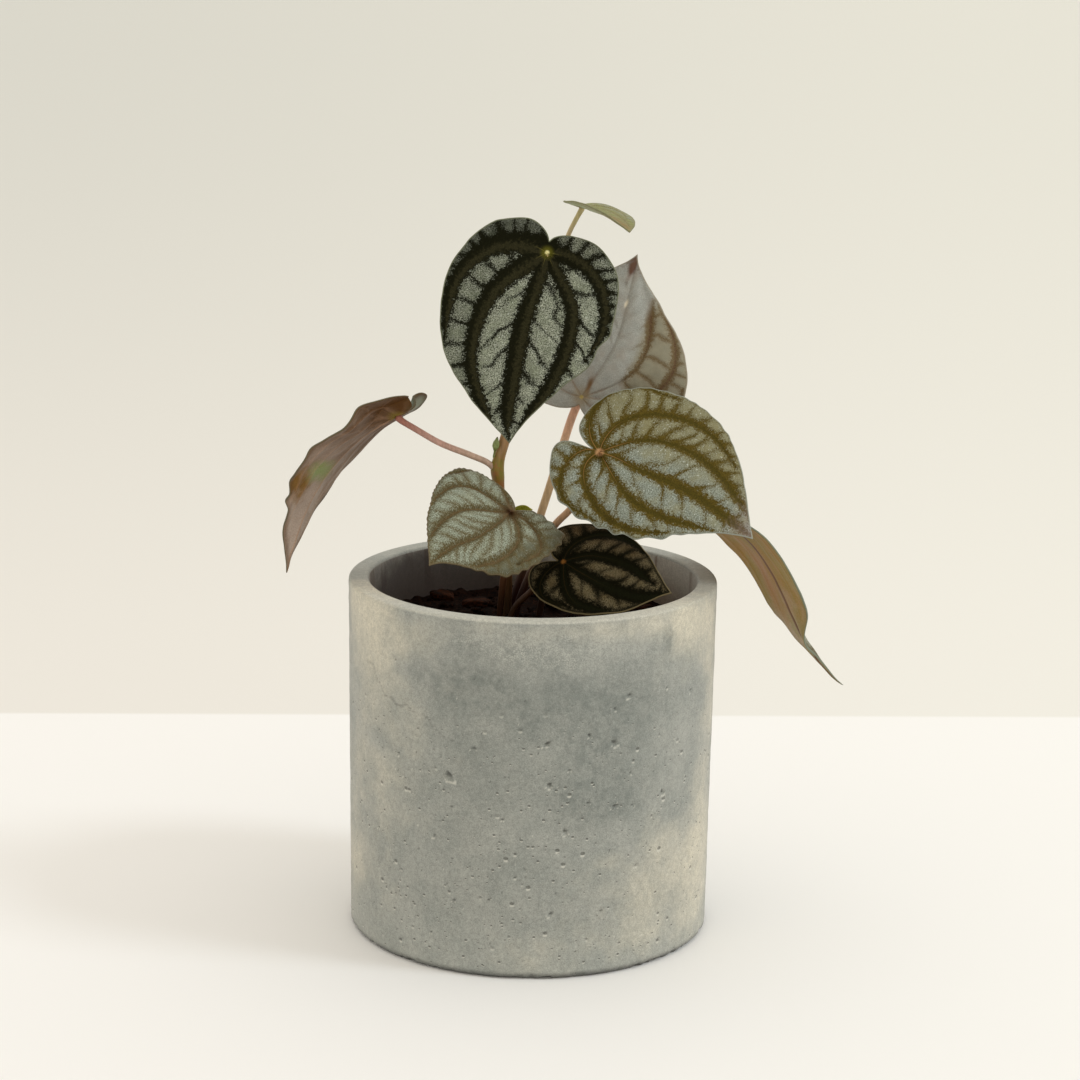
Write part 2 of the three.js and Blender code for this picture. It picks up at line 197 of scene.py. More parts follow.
def smooth_noise(points, cell, seed):
    """Values from -1 to 1 that change over the length cell: a seeded value for each lattice corner,
    weighted by 3f^2 - 2f^3 of the share f of the way to it along each axis. A corner finds its value
    in a short table by its whole numbers times large primes, combined bit by bit."""
    table = np.random.default_rng(seed).uniform(-1, 1, LATTICE_VALUES)
    scaled = np.asarray(points, float) / cell
    low = np.floor(scaled).astype(np.int64)
    share = scaled - low
    share = share * share * (3 - 2 * share)
    total = np.zeros(scaled.shape[:-1])
    for corner in np.ndindex(*(2,) * scaled.shape[-1]):
        at = low + np.array(corner)
        key = at[..., 0] * LATTICE_PRIMES[0]
        for axis in range(1, scaled.shape[-1]):
            key = key ^ (at[..., axis] * LATTICE_PRIMES[axis])
        weight = np.where(corner, share, 1 - share).prod(-1)
        total += weight * table[key & (LATTICE_VALUES - 1)]
    return total


def soft_step(value, low, high):
    """0 below low, 1 above high, and 3t^2 - 2t^3 between them."""
    t = np.clip((value - low) / (high - low), 0, 1)
    return t * t * (3 - 2 * t)


def cubic(a, b, c, d, count=24):
    """A cubic Bezier curve: (1-t)^3 a + 3(1-t)^2 t b + 3(1-t) t^2 c + t^3 d."""
    t = np.linspace(0, 1, count)[:, None]
    a, b, c, d = (np.asarray(p, float) for p in (a, b, c, d))
    return (1 - t) ** 3 * a + 3 * (1 - t) ** 2 * t * b + 3 * (1 - t) * t * t * c + t**3 * d


def arc_lengths(line):
    """The distance from the line's start to each of its points, along the line."""
    steps = np.linalg.norm(np.diff(line, axis=0), axis=1)
    return np.concatenate([[0], np.cumsum(steps)])


def evenly(line, count):
    """The same line as count points at even distances."""
    length = arc_lengths(line)
    wanted = np.linspace(0, length[-1], count)
    return np.column_stack([np.interp(wanted, length, line[:, i]) for i in range(line.shape[1])])


def turned(points, angle):
    """Points turned about Z: (x cos a - y sin a, x sin a + y cos a, z)."""
    x, y, z = np.moveaxis(points, -1, 0)
    cos, sin = np.cos(angle), np.sin(angle)
    return np.stack([cos * x - sin * y, sin * x + cos * y, z], axis=-1)


def curve_through(points, count):
    """A centripetal Catmull-Rom curve: each span is blended three times between its four nearest
    points, with knots that are the square root of their distances apart."""
    p = np.asarray(points, float)
    p = np.concatenate([[2 * p[0] - p[1]], p, [2 * p[-1] - p[-2]]])
    spans = []
    for i in range(len(p) - 3):
        a, b, c, d = p[i : i + 4]
        steps = [np.linalg.norm(step) ** 0.5 for step in (b - a, c - b, d - c)]
        knots = np.concatenate([[0], np.cumsum(steps)])
        t = np.linspace(knots[1], knots[2], 16)[:, None]

        def between(first, second, low, high):
            """Straight from first at knot low to second at knot high."""
            blend = (knots[high] - t) * first + (t - knots[low]) * second
            return blend / (knots[high] - knots[low])

        ab = between(a, b, 0, 1)
        bc = between(b, c, 1, 2)
        cd = between(c, d, 2, 3)
        spans.append(between(between(ab, bc, 0, 2), between(bc, cd, 1, 3), 1, 2))
    return evenly(np.concatenate(spans), count)


# %% [markdown]
# ## Helpers for finishes
# A finish is a small network of shader nodes. Writing each node by hand takes many lines, so a
# Finish object adds a node in one call and returns its output. Colours are given as 0 to 255 values
# on a screen and turned into the linear values that the renderer works with.


# %% A short way to write shader nodes
def colour(red, green, blue):
    """Screen values from 0 to 255 as linear light: ((c + 0.055) / 1.055) ^ 2.4."""
    screen = np.array([red, green, blue]) / 255
    linear = np.where(screen > 0.04045, ((screen + 0.055) / 1.055) ** 2.4, screen / 12.92)
    return (*linear.tolist(), 1.0)


class Finish:
    """A material under construction. Each method adds one node and returns its output."""

    def __init__(self, name, roughness, specular):
        self.material = bpy.data.materials.new(name)
        self.material.use_nodes = True
        self.tree = self.material.node_tree
        self.surface = self.tree.nodes["Principled BSDF"]
        self.surface.inputs["Roughness"].default_value = roughness
        self.surface.inputs["Specular IOR Level"].default_value = specular
        self.place = self.add("TexCoord", {}, "Object")

    def add(self, kind, inputs, output=0, **settings):
        """Any node: its inputs by name or number, the output to return, and its own settings."""
        node = self.tree.nodes.new("ShaderNode" + kind)
        for key, value in settings.items():
            setattr(node, key, value)
        for key, value in inputs.items():
            self.feed(node.inputs[key], value)
        return node.outputs[output]

    def feed(self, socket, value):
        """Link a socket to another node's output, or set it to a plain value."""
        if isinstance(value, bpy.types.NodeSocket):
            self.tree.links.new(value, socket)
        else:
            socket.default_value = value

    def value(self, name):
        """A number that the mesh holds at each point."""
        return self.add("Attribute", {}, "Fac", attribute_name=name)

    def vector(self, name):
        """Three numbers that the mesh holds at each point."""
        return self.add("Attribute", {}, "Vector", attribute_name=name)

    def math(self, operation, first, second=0.0):
        """One of Blender's Math operations on two numbers, by its name."""
        return self.add("Math", {0: first, 1: second}, operation=operation)

    def times(self, first, second):
        """first x second."""
        return self.math("MULTIPLY", first, second)

    def blend_least(self, first, second, width):
        """The lesser of two distances, with the corner between them rounded over a width."""
        return self.add("Math", {0: first, 1: second, 2: width}, operation="SMOOTH_MIN")

    def step(self, value, low, high, start=0.0, end=1.0):
        """From start at low to end at high, with 3t^2 - 2t^3 between them. low may be the greater."""
        ends = {"Value": value, "From Min": low, "From Max": high, "To Min": start, "To Max": end}
        return self.add("MapRange", ends, interpolation_type="SMOOTHSTEP")

    def mix(self, share, first, second):
        """A colour between two: (1 - share) first + share second."""
        return self.add("Mix", {0: share, 6: first, 7: second}, 2, data_type="RGBA")

    def shade(self, base, amount):
        """The colour base times a grey amount."""
        grey = self.add("CombineColor", {0: amount, 1: amount, 2: amount})
        ends = {0: 1.0, 6: base, 7: grey}
        return self.add("Mix", ends, 2, data_type="RGBA", blend_type="MULTIPLY")

    def squeezed(self, share):
        """Object coordinates squeezed along Z, on which a noise runs in upright streaks."""
        return self.add("Mapping", {"Vector": self.place, "Scale": (1, 1, share)})

    def noise(self, size, where=None, detail=2.0, roughness=0.5):
        """Noise from 0 to 1 with patches of size mm, on Object coordinates. On coordinates of its
        own, the size is in their unit."""
        scale = 1 / size if where is not None else 1 / (size * MM)
        ends = {"Vector": where or self.place, "Scale": scale, "Detail": detail, "Roughness": roughness}
        return self.add("TexNoise", ends, "Fac")

    def bump(self, height, depth, strength=1.0, under=None):
        """Relief in the shading alone: a height from 0 to 1 is worth depth mm. under is the bump below."""
        ends = {"Height": height, "Distance": depth * MM, "Strength": strength}
        if under is not None:
            ends["Normal"] = under
        return self.add("Bump", ends)

    def paint(self, base, normal=None, roughness=None):
        """Feed the finished colour, bump and roughness to the surface, and return the material."""
        self.feed(self.surface.inputs["Base Color"], base)
        if normal is not None:
            self.feed(self.surface.inputs["Normal"], normal)
        if roughness is not None:
            self.feed(self.surface.inputs["Roughness"], roughness)
        print("finish", self.material.name, "has", len(self.tree.nodes), "nodes")
        return self.material


# %% [markdown]
# ## Floor and light
# The object stands on a pale matt surface in a bright white room. One broad far lamp from the
# right, forty degrees up, lays a soft shadow to the left, and a pale sky does the rest. The sky is
# a little brighter behind the pot than in front of it, so the pot's two sides stand out from its
# middle. Behind the pot the surface takes a slightly darker cream, which reads as a plain backdrop
# from the front and hides nothing from the other sides.

# %% A plain pale floor
FLOOR_HALF = 12000.0
BACKDROP_NEAR = 213.0
BACKDROP_SLOPE = 0.0418
# The cream's darkening and its change from side to side, in metres and as shares. Both are
# painted shade and light, as on a backdrop lit from the right.
CREAM_START = 0.83
CREAM_REACH = 0.31
CREAM_SIDE = 0.21


def pale_floor():
    """Near white, and cream beyond the line y = near + slope x. The cream darkens with distance as
    reach / (y + start), and both lighten to the right with x / (y + start): painted shade and light,
    as in a room lit from the right."""
    floor = Finish("pale_floor", 0.75, 0.2)
    across, away, _ = (floor.add("SeparateXYZ", {0: floor.place}, i) for i in range(3))
    edge = floor.math("SUBTRACT", away, floor.times(across, BACKDROP_SLOPE))
    near = BACKDROP_NEAR * MM
    beyond = floor.step(edge, near - 2 * MM, near + 2 * MM)
    reach = floor.math("ADD", away, CREAM_START)
    side = floor.step(floor.math("DIVIDE", across, reach), -CREAM_SIDE, CREAM_SIDE)
    closeness = floor.math("DIVIDE", CREAM_REACH, reach)
    far_cream = floor.mix(side, colour(208, 207, 201), colour(222, 221, 214))
    near_cream = floor.mix(side, colour(231, 227, 222), colour(236, 234, 229))
    backdrop = floor.mix(floor.step(closeness, 0.03, 0.33), far_cream, near_cream)
    surface = floor.mix(side, colour(243, 241, 240), colour(245, 244, 243))
    return floor.paint(floor.mix(beyond, surface, backdrop))


half = FLOOR_HALF * MM
floor_mesh = bpy.data.meshes.new("floor")
floor_corners = [(-half, -half, 0), (half, -half, 0), (half, half, 0), (-half, half, 0)]
floor_mesh.from_pydata(floor_corners, [], [(0, 1, 2, 3)])
floor_mesh.materials.append(pale_floor())
floor_object = bpy.data.objects.new("floor", floor_mesh)
bpy.context.scene.collection.objects.link(floor_object)

# %% Soft light
LAMP_FROM = np.array([0.734, -0.182, 0.653])
LAMP_WIDTH = math.radians(14)
LAMP_STRENGTH = 0.72
LAMP_COLOUR = (0.84, 0.93, 1.0)
SKY_COLOUR = (1.0, 0.958, 0.865, 1)
SKY_FRONT = 0.90
SKY_BEHIND = 1.02


def soft_lamp():
    """A far lamp that shines along -LAMP_FROM and looks 14 degrees wide."""
    data = bpy.data.lights.new("lamp", "SUN")
    data.angle = LAMP_WIDTH
    data.energy = LAMP_STRENGTH
    data.color = LAMP_COLOUR
    side = np.cross([0.0, 0.0, 1.0], LAMP_FROM)
    side = side / np.linalg.norm(side)
    turn = np.column_stack([side, np.cross(LAMP_FROM, side), LAMP_FROM])
    lamp = bpy.data.objects.new("lamp", data)
    lamp.matrix_world = Matrix(turn.tolist()).to_4x4()
    bpy.context.scene.collection.objects.link(lamp)


def pale_sky():
    """Light from all round: its strength grows from front (-Y) to behind (+Y)."""
    world = bpy.data.worlds.new("studio")
    world.use_nodes = True
    tree = world.node_tree
    place = tree.nodes.new("ShaderNodeTexCoord")
    parts = tree.nodes.new("ShaderNodeSeparateXYZ")
    ramp = tree.nodes.new("ShaderNodeMapRange")
    ramp.inputs["From Min"].default_value = -1
    ramp.inputs["To Min"].default_value = SKY_FRONT
    ramp.inputs["To Max"].default_value = SKY_BEHIND
    tree.links.new(place.outputs["Generated"], parts.inputs[0])
    tree.links.new(parts.outputs["Y"], ramp.inputs["Value"])
    background = tree.nodes["Background"]
    background.inputs["Color"].default_value = SKY_COLOUR
    tree.links.new(ramp.outputs[0], background.inputs["Strength"])
    bpy.context.scene.world = world


soft_lamp()
pale_sky()
bpy.context.scene.view_settings.view_transform = "Standard"
print("lamp strength", LAMP_STRENGTH, "sky", SKY_FRONT, "to", SKY_BEHIND)

# %% [markdown]
# ## The concrete pot
# The pot is one casting: a straight cylinder with a rounded rim, a slightly drawn inner wall and a
# rough foot. Concrete that is poured against a smooth mould traps bubbles, which leave pits, and the
# thin skin of fine cement is blue-grey where it stayed wet and beige where it dried first.
# A displaced cylinder could show the pits, but small ones would need far too many faces. Here the
# grid lines are drawn together at each pit, so the faces go where the detail is.

# %% The pot's measures
pot_high = np.array(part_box("pot")[1]) / MM
POT_HEIGHT = float(pot_high[2])
RIM_RADIUS = float(pot_high[0])
FOOT_RADIUS = RIM_RADIUS - 0.8
WALL = 6.0
FLOOR = 9.0
INNER_DRAFT = 1.5
RIM_ROUND = 0.9
CHAMFER = 1.2
POT_COLUMNS = 540
FINER_IN_FRONT = 0.35
MOUTH_RADIUS = RIM_RADIUS - WALL

# Bubbles that show on the front: (degrees round from the front, height, radius), in mm.
BUBBLES = [
    (31, 83.9, 1.0), (26, 80.4, 0.8), (26, 70.4, 1.3), (18, 73.3, 0.9), (5, 71.3, 1.4), (12, 63.3, 0.6),
    (6, 59.1, 1.2), (-25, 59.8, 1.8), (-17, 69.0, 0.9), (-44, 63.1, 0.8), (32, 60.6, 0.8), (45, 52.4, 1.0),
    (18, 53.2, 0.9), (27, 51.2, 1.3), (33, 50.6, 0.6), (11, 44.9, 1.1), (-24, 50.6, 0.7), (-27, 46.3, 0.6),
    (-8, 48.4, 0.6), (-43, 28.1, 0.8), (-44, 21.1, 0.6), (-54, 38.2, 0.6), (-30, 41.0, 0.8),
    (-1, 33.8, 0.8), (-4, 31.1, 0.6), (35, 32.1, 0.8), (-23, 22.5, 0.8), (-12, 23.8, 0.7), (7, 20.1, 1.0),
    (23, 19.8, 0.8), (58, 80.5, 0.8), (15, 8.1, 0.5), (-31, 11.3, 0.5), (9, 47.6, 0.5), (-6, 84.4, 0.5),
]
SMALL_BUBBLES = 420
LARGE_BUBBLES = 40
# The edge of a thin flake of cement skin: (degrees round, height) along it.
SKIN_EDGE = [
    (-62, 91), (-56, 84.4), (-50, 79.7), (-44, 78.2), (-34, 76.7), (-31, 74.5), (-26, 70.9), (-19, 69.1),
]


def pot_profile():
    """Rings from the middle of the underside up the outside, over the rim and down to the middle of
    the hollow: (radius, height) of each, and how far in it lies (0 outside, 1 inside)."""
    under = [(r, 0) for r in np.linspace(4, FOOT_RADIUS - CHAMFER, 5)]
    foot = [(FOOT_RADIUS - CHAMFER * (1 - s), CHAMFER * s) for s in (0.3, 0.6, 0.85)]
    top = POT_HEIGHT - RIM_ROUND
    rise = np.linspace(0, 1, 134)
    draft = RIM_RADIUS - FOOT_RADIUS
    outside = [(FOOT_RADIUS + draft * s, CHAMFER + (top - CHAMFER) * s) for s in rise]
    bends = np.radians([22, 45, 68, 90])
    arc = [(RIM_ROUND * math.cos(bend), top + RIM_ROUND * math.sin(bend)) for bend in bends]
    outer = [(RIM_RADIUS - RIM_ROUND + out, z) for out, z in arc]
    flat = [(r, POT_HEIGHT) for r in np.linspace(RIM_RADIUS - 1.8, MOUTH_RADIUS + 1.8, 5)]
    inner = [(MOUTH_RADIUS + RIM_ROUND - out, z) for out, z in arc[::-1]]
    drop = np.concatenate([np.linspace(0, 0.17, 22), [0.5, 1]])
    inside = [(MOUTH_RADIUS - INNER_DRAFT * s, top - (top - FLOOR) * s) for s in drop]
    hollow = [(r, FLOOR) for r in (30, 4)]
    profile = under + foot + outside + outer + flat + inner + inside + hollow
    depth = np.concatenate([np.zeros(len(profile) - len(inside) - 2), np.ones(len(inside) + 2)])
    return np.array(profile), depth


# %% Bubbles, the skin's edge and the rough foot
def round_the_front(angle, height):
    """Degrees and height as mm across the unrolled wall."""
    return np.stack(np.broadcast_arrays(np.radians(angle) * RIM_RADIUS, height), axis=-1)


def offset_from(flat, angle, height):
    """mm across and up from a place on the unrolled wall, the shorter way round the pot."""
    girth = 2 * math.pi * RIM_RADIUS
    offset = flat - round_the_front(angle, height)
    offset[..., 0] = (offset[..., 0] + girth / 2) % girth - girth / 2
    return offset


def more_bubbles():
    """Small bubbles all round, mostly in the lower two thirds, and larger ones behind."""
    random = np.random.default_rng(5)
    spread = [
        (random.uniform(-180, 180), 92 * random.beta(1.5, 1.9) + 4) for _ in range(SMALL_BUBBLES)
    ]
    small = [(*place, 0.2 + 0.32 * random.beta(1, 2.5)) for place in spread]
    large = [
        (random.uniform(70, 290), random.uniform(8, 92), random.uniform(0.5, 1.4))
        for _ in range(LARGE_BUBBLES)
    ]
    return small + large


def cast_bubbles(flat):
    """Draws the unrolled grid together at each bubble, r -> r (1 - 0.5 exp(-(r / 2.4 size)^2)), and
    sinks an uneven oval bowl there: depth size (1 - (r / size)^2)^1.5, with a raised lip under it,
    exp(-((r / size - 1.2) / 0.3)^2), which the finish paints pale as a highlight. Returns the moved
    grid, the bowls, their upper halves, which the finish darkens as painted shade, and the lips."""
    bowls = np.zeros(flat.shape[:-1])
    pit_shades = np.zeros(flat.shape[:-1])
    lit_lips = np.zeros(flat.shape[:-1])
    random = np.random.default_rng(9)
    for angle, height, size in BUBBLES + more_bubbles():
        stretch = random.uniform(0.5, 0.85)
        lean = random.normal(0, 0.3)
        bite = random.uniform(0, 6.28)
        offset = offset_from(flat, angle, height)
        near = np.abs(offset[..., 0]) + np.abs(offset[..., 1]) < 7 * size + 2
        gap = offset[near]
        away = np.hypot(gap[:, 0], gap[:, 1])
        pull = 0.5 * np.exp(-((away / (2.4 * size)) ** 2))
        gap = gap * (1 - pull[:, None])
        flat[near] -= offset[near] * pull[:, None]
        across = math.cos(lean) * gap[:, 0] + math.sin(lean) * gap[:, 1]
        up = (math.cos(lean) * gap[:, 1] - math.sin(lean) * gap[:, 0]) / stretch
        turn = np.arctan2(up, across)
        uneven = 1 + 0.18 * np.sin(2 * turn + bite) + 0.1 * np.sin(5 * turn + bite)
        oval = np.hypot(across, up) / size * uneven
        bowl = np.clip(1 - oval**2, 0, 1)
        level = gap[:, 1] / size
        bowls[near] = np.maximum(bowls[near], size * bowl**1.5)
        pit_shades[near] = np.maximum(pit_shades[near], bowl * soft_step(level, -0.7, 0.4))
        ring = np.exp(-(((oval - 1.2) / 0.3) ** 2)) * soft_step(-level, 0.0, 0.8)
        lit_lips[near] = np.maximum(lit_lips[near], ring)
    return flat, bowls, pit_shades, lit_lips


POINTS_AT_ONCE = 8192


def beside(points, line):
    """For each point, the nearest place on a line of points: the distance to it, positive on the
    right of the line, and how far along the line it lies. The points are worked through in batches,
    because every point is compared with every piece of the line."""
    start = line[:-1]
    run = np.diff(line, axis=0)
    squared = np.maximum((run**2).sum(1), 1e-12)
    reached = arc_lengths(line)
    flat_points = points.reshape(-1, 2)
    signed = np.zeros(len(flat_points))
    along = np.zeros(len(flat_points))
    for begin in range(0, len(flat_points), POINTS_AT_ONCE):
        batch = slice(begin, begin + POINTS_AT_ONCE)
        some = flat_points[batch, None, :] - start
        share = np.clip((some * run).sum(-1) / squared, 0, 1)
        gap = some - share[..., None] * run
        away = np.hypot(gap[..., 0], gap[..., 1])
        nearest = away.argmin(1)
        row = np.arange(len(nearest))
        cross = run[nearest, 1] * gap[row, nearest, 0] - run[nearest, 0] * gap[row, nearest, 1]
        least = away[row, nearest]
        signed[batch] = np.where(cross >= 0, least, -least)
        along[batch] = reached[nearest] + share[row, nearest] * squared[nearest] ** 0.5
    return signed.reshape(points.shape[:-1]), along.reshape(points.shape[:-1])


# %% [markdown]
# The stains are soft-edged patches on the wall, and some are painted light and shade: dry ones
# brighten the pot's two sides and its foot, and wide wet ones darken its middle. Each is an ellipse
# of its own size whose edge is made ragged by noise, and smooth noise adds the same kind of cloud
# all round the pot.

# %% Stains, painted light and painted shade on the wall
# (degrees round, height, half width, half height, strength), in mm.
# The two wide clouds over the middle front are partly painted shade, which darkens the pot's middle.
WET_AND_SHADE_CLOUDS = [
    (-19, 87, 13, 5, 1.2), (-7, 83.5, 5, 3.5, 1.1), (-6, 62, 32, 28, 0.5), (36, 84, 17, 10, 0.7),
    (20, 76, 12, 10, 0.45), (8, 86, 8, 8, 0.45), (22, 50, 17, 8, 0.6), (0, 97, 18, 4, 0.35),
    (-66, 78, 3, 10, 0.6), (62, 66, 5, 12, 0.5), (45, 99, 3, 5, 0.9), (30, 64, 16, 12, 0.4),
    (-16, 100, 14, 8, 0.45), (-30, 22, 22, 14, 0.15), (-4, 64, 15, 24, 0.22),
]
# The clouds at the pot's two sides and near its foot are partly painted light, which brightens them.
DRY_AND_LIGHT_CLOUDS = [
    (62, 100, 22, 12, 0.75), (76, 80, 12, 20, 0.4), (-56, 96, 20, 14, 0.6), (-68, 104, 14, 8, 0.7),
    (-58, 66, 16, 24, 0.4), (54, 30, 26, 18, 0.6), (74, 46, 14, 40, 0.6), (8, 14, 30, 10, 0.15),
    (24, 104, 34, 5, 0.6), (-76, 34, 16, 40, 0.5), (48, 8, 40, 10, 0.3), (-46, 40, 9, 48, 0.28),
]
# The inner wall is darkened at the back left, and salts have bloomed under the rim.
INNER_DARK_PATCH = [(-134, 90, 44, 18, 1.7)]
BLOOM = [
    (-14, 101, 16, 5, 0.8), (8, 99, 18, 7, 1.1), (30, 103, 12, 4, 0.6), (50, 92, 8, 6, 0.4),
    (-40, 92, 10, 8, 0.4),
]


def clouds(flat, round_points, patches, seed, drift=1.0):
    """Patches as a sum of exp(-(dx / width)^2 - (dz / height)^2), plus noise, from 0 to 1. drift is
    the share of the wide clouds that need no patch."""
    ragged = smooth_noise(round_points, 5, seed) + 0.5 * smooth_noise(round_points, 2, seed + 1)
    wide_cloud = 0.35 * smooth_noise(round_points, 26, seed + 2)
    small_cloud = 0.3 * smooth_noise(round_points, 11, seed + 3)
    amount = drift * (wide_cloud + small_cloud)
    for angle, height, wide, tall, strength in patches:
        offset = offset_from(flat, angle, height)
        amount += strength * np.exp(-((offset[..., 0] / wide) ** 2) - (offset[..., 1] / tall) ** 2)
    return soft_step(amount + 0.14 * ragged, 0.1, 1.05)


def pot_rings():
    """The pot's rings, which are the profile turned about Z and roughened, and what its finish reads.
    The columns are closest together at the front: angle = 180 (t - 0.35 sin(pi t) / pi)."""
    profile, depth = pot_profile()
    turns = np.linspace(-1, 1, POT_COLUMNS, endpoint=False)
    angle = 180 * (turns - FINER_IN_FRONT * np.sin(math.pi * turns) / math.pi)
    outside = (depth == 0)[:, None]
    flat = round_the_front(angle[None, :], profile[:, 1:2])
    moved, bowls, pit_shades, lit_lips = cast_bubbles(flat.copy())
    wall = (profile[:, 0] > FOOT_RADIUS - 0.01) & (depth == 0) & (profile[:, 1] < POT_HEIGHT - RIM_ROUND)
    height = np.where(wall[:, None], moved[..., 1], flat[..., 1])
    turn = np.where(wall[:, None], moved[..., 0], flat[..., 0]) / RIM_RADIUS
    around = np.stack([np.sin(turn), -np.cos(turn)], axis=-1)
    unmarked = np.concatenate([around * RIM_RADIUS, height[..., None]], axis=-1)
    edge_line = evenly(round_the_front(*np.array(SKIN_EDGE, float).T), 60)
    wander = 0.9 * smooth_noise(unmarked, 3, 31)[..., None]
    from_edge, along = beside(moved + wander, edge_line)
    edge_end = arc_lengths(edge_line)[-1]
    ends = soft_step(along, 0, 6) * (1 - soft_step(along, edge_end - 5, edge_end))
    flake = np.exp(-((from_edge / 0.5) ** 2)) * ends * wall[:, None]
    rough = 0.1 * smooth_noise(unmarked, 9, 11) + 0.05 * smooth_noise(unmarked, 2.5, 12)
    low = 1 - soft_step(height, 0.3, 2.2)
    chips = np.clip(smooth_noise(unmarked, 1.7, 13) + 0.4 * smooth_noise(unmarked, 5, 14), 0, 1)
    radius = profile[:, 0:1] + wall[:, None] * (rough - 0.65 * bowls + 0.07 * lit_lips - 0.16 * flake)
    radius = radius - 0.9 * low * chips * outside * (profile[:, 0:1] > FOOT_RADIUS - CHAMFER - 0.01)
    lifted = height + 0.35 * low * chips * outside * (profile[:, 1:2] > 0)
    rings = np.concatenate([around * radius[..., None], lifted[..., None]], axis=-1)
    values = {
        "pit_shade": pit_shades * wall[:, None],
        "lit_lip": lit_lips * wall[:, None],
        "bloom": clouds(flat, unmarked, BLOOM, 71, 0.0) * wall[:, None],
        "flake": flake,
        "wet_and_shade": clouds(flat, unmarked, WET_AND_SHADE_CLOUDS, 41, 0.65),
        "dry_and_light": clouds(flat, unmarked, DRY_AND_LIGHT_CLOUDS, 51, 0.65),
        "inner_dark": clouds(flat, unmarked, INNER_DARK_PATCH, 61, 0.3) * depth[:, None],
        "inside": np.broadcast_to(depth[:, None], height.shape),
        "height": height,
    }
    return rings, values


# %% [markdown]
# Concrete is matt and sandy, and at a flat angle it shines faintly like paper. Its colour mixes a
# mid grey with the wet and dry clouds, which hold painted shade and painted light as well as real
# stains. Fine grain a third of a millimetre across is sand, dark specks are the smallest pits in
# painted shade with a painted highlight under each, a salty bloom makes pale specks under the rim,
# and the inner wall is darker and browner towards the bottom, with brown runs from the wet mix.


# %% The concrete's finish
def small_pits(cast):
    """Bubbles too small for the mesh: spheres of three sizes scattered through the concrete, flattened
    by a third, show where the wall cuts them, painted dark as shade. The lip is what lies just under
    each, painted pale as a highlight. Each size is (mm from sphere to sphere, radius as a share of
    that, noise above which they appear)."""
    pits, lit_lips = 0.0, 0.0
    low = cast.step(cast.value("height"), 88, 66)
    flatter = (1, 1, 1.5)
    for cell, radius, share in ((2.1, 0.16, 0.5), (3.6, 0.15, 0.46), (7.0, 0.12, 0.4)):
        patch = cast.step(cast.noise(2.4 * cell), share, share + 0.08)
        patch = cast.times(patch, low)
        found = []
        for lower in (0.0, 0.1 * cell):
            lowered = (0, 0, 1.5 * lower * MM)
            squashed = {"Vector": cast.place, "Location": lowered, "Scale": flatter}
            where = cast.add("Mapping", squashed)
            gap = cast.add("TexVoronoi", {"Vector": where, "Scale": 1 / (cell * MM)}, "Distance")
            found.append(cast.times(cast.step(gap, radius, 0.55 * radius), patch))
        pits = cast.math("MAXIMUM", pits, found[0])
        lit_lips = cast.math("MAXIMUM", lit_lips, cast.math("SUBTRACT", found[1], found[0]))
    return pits, lit_lips


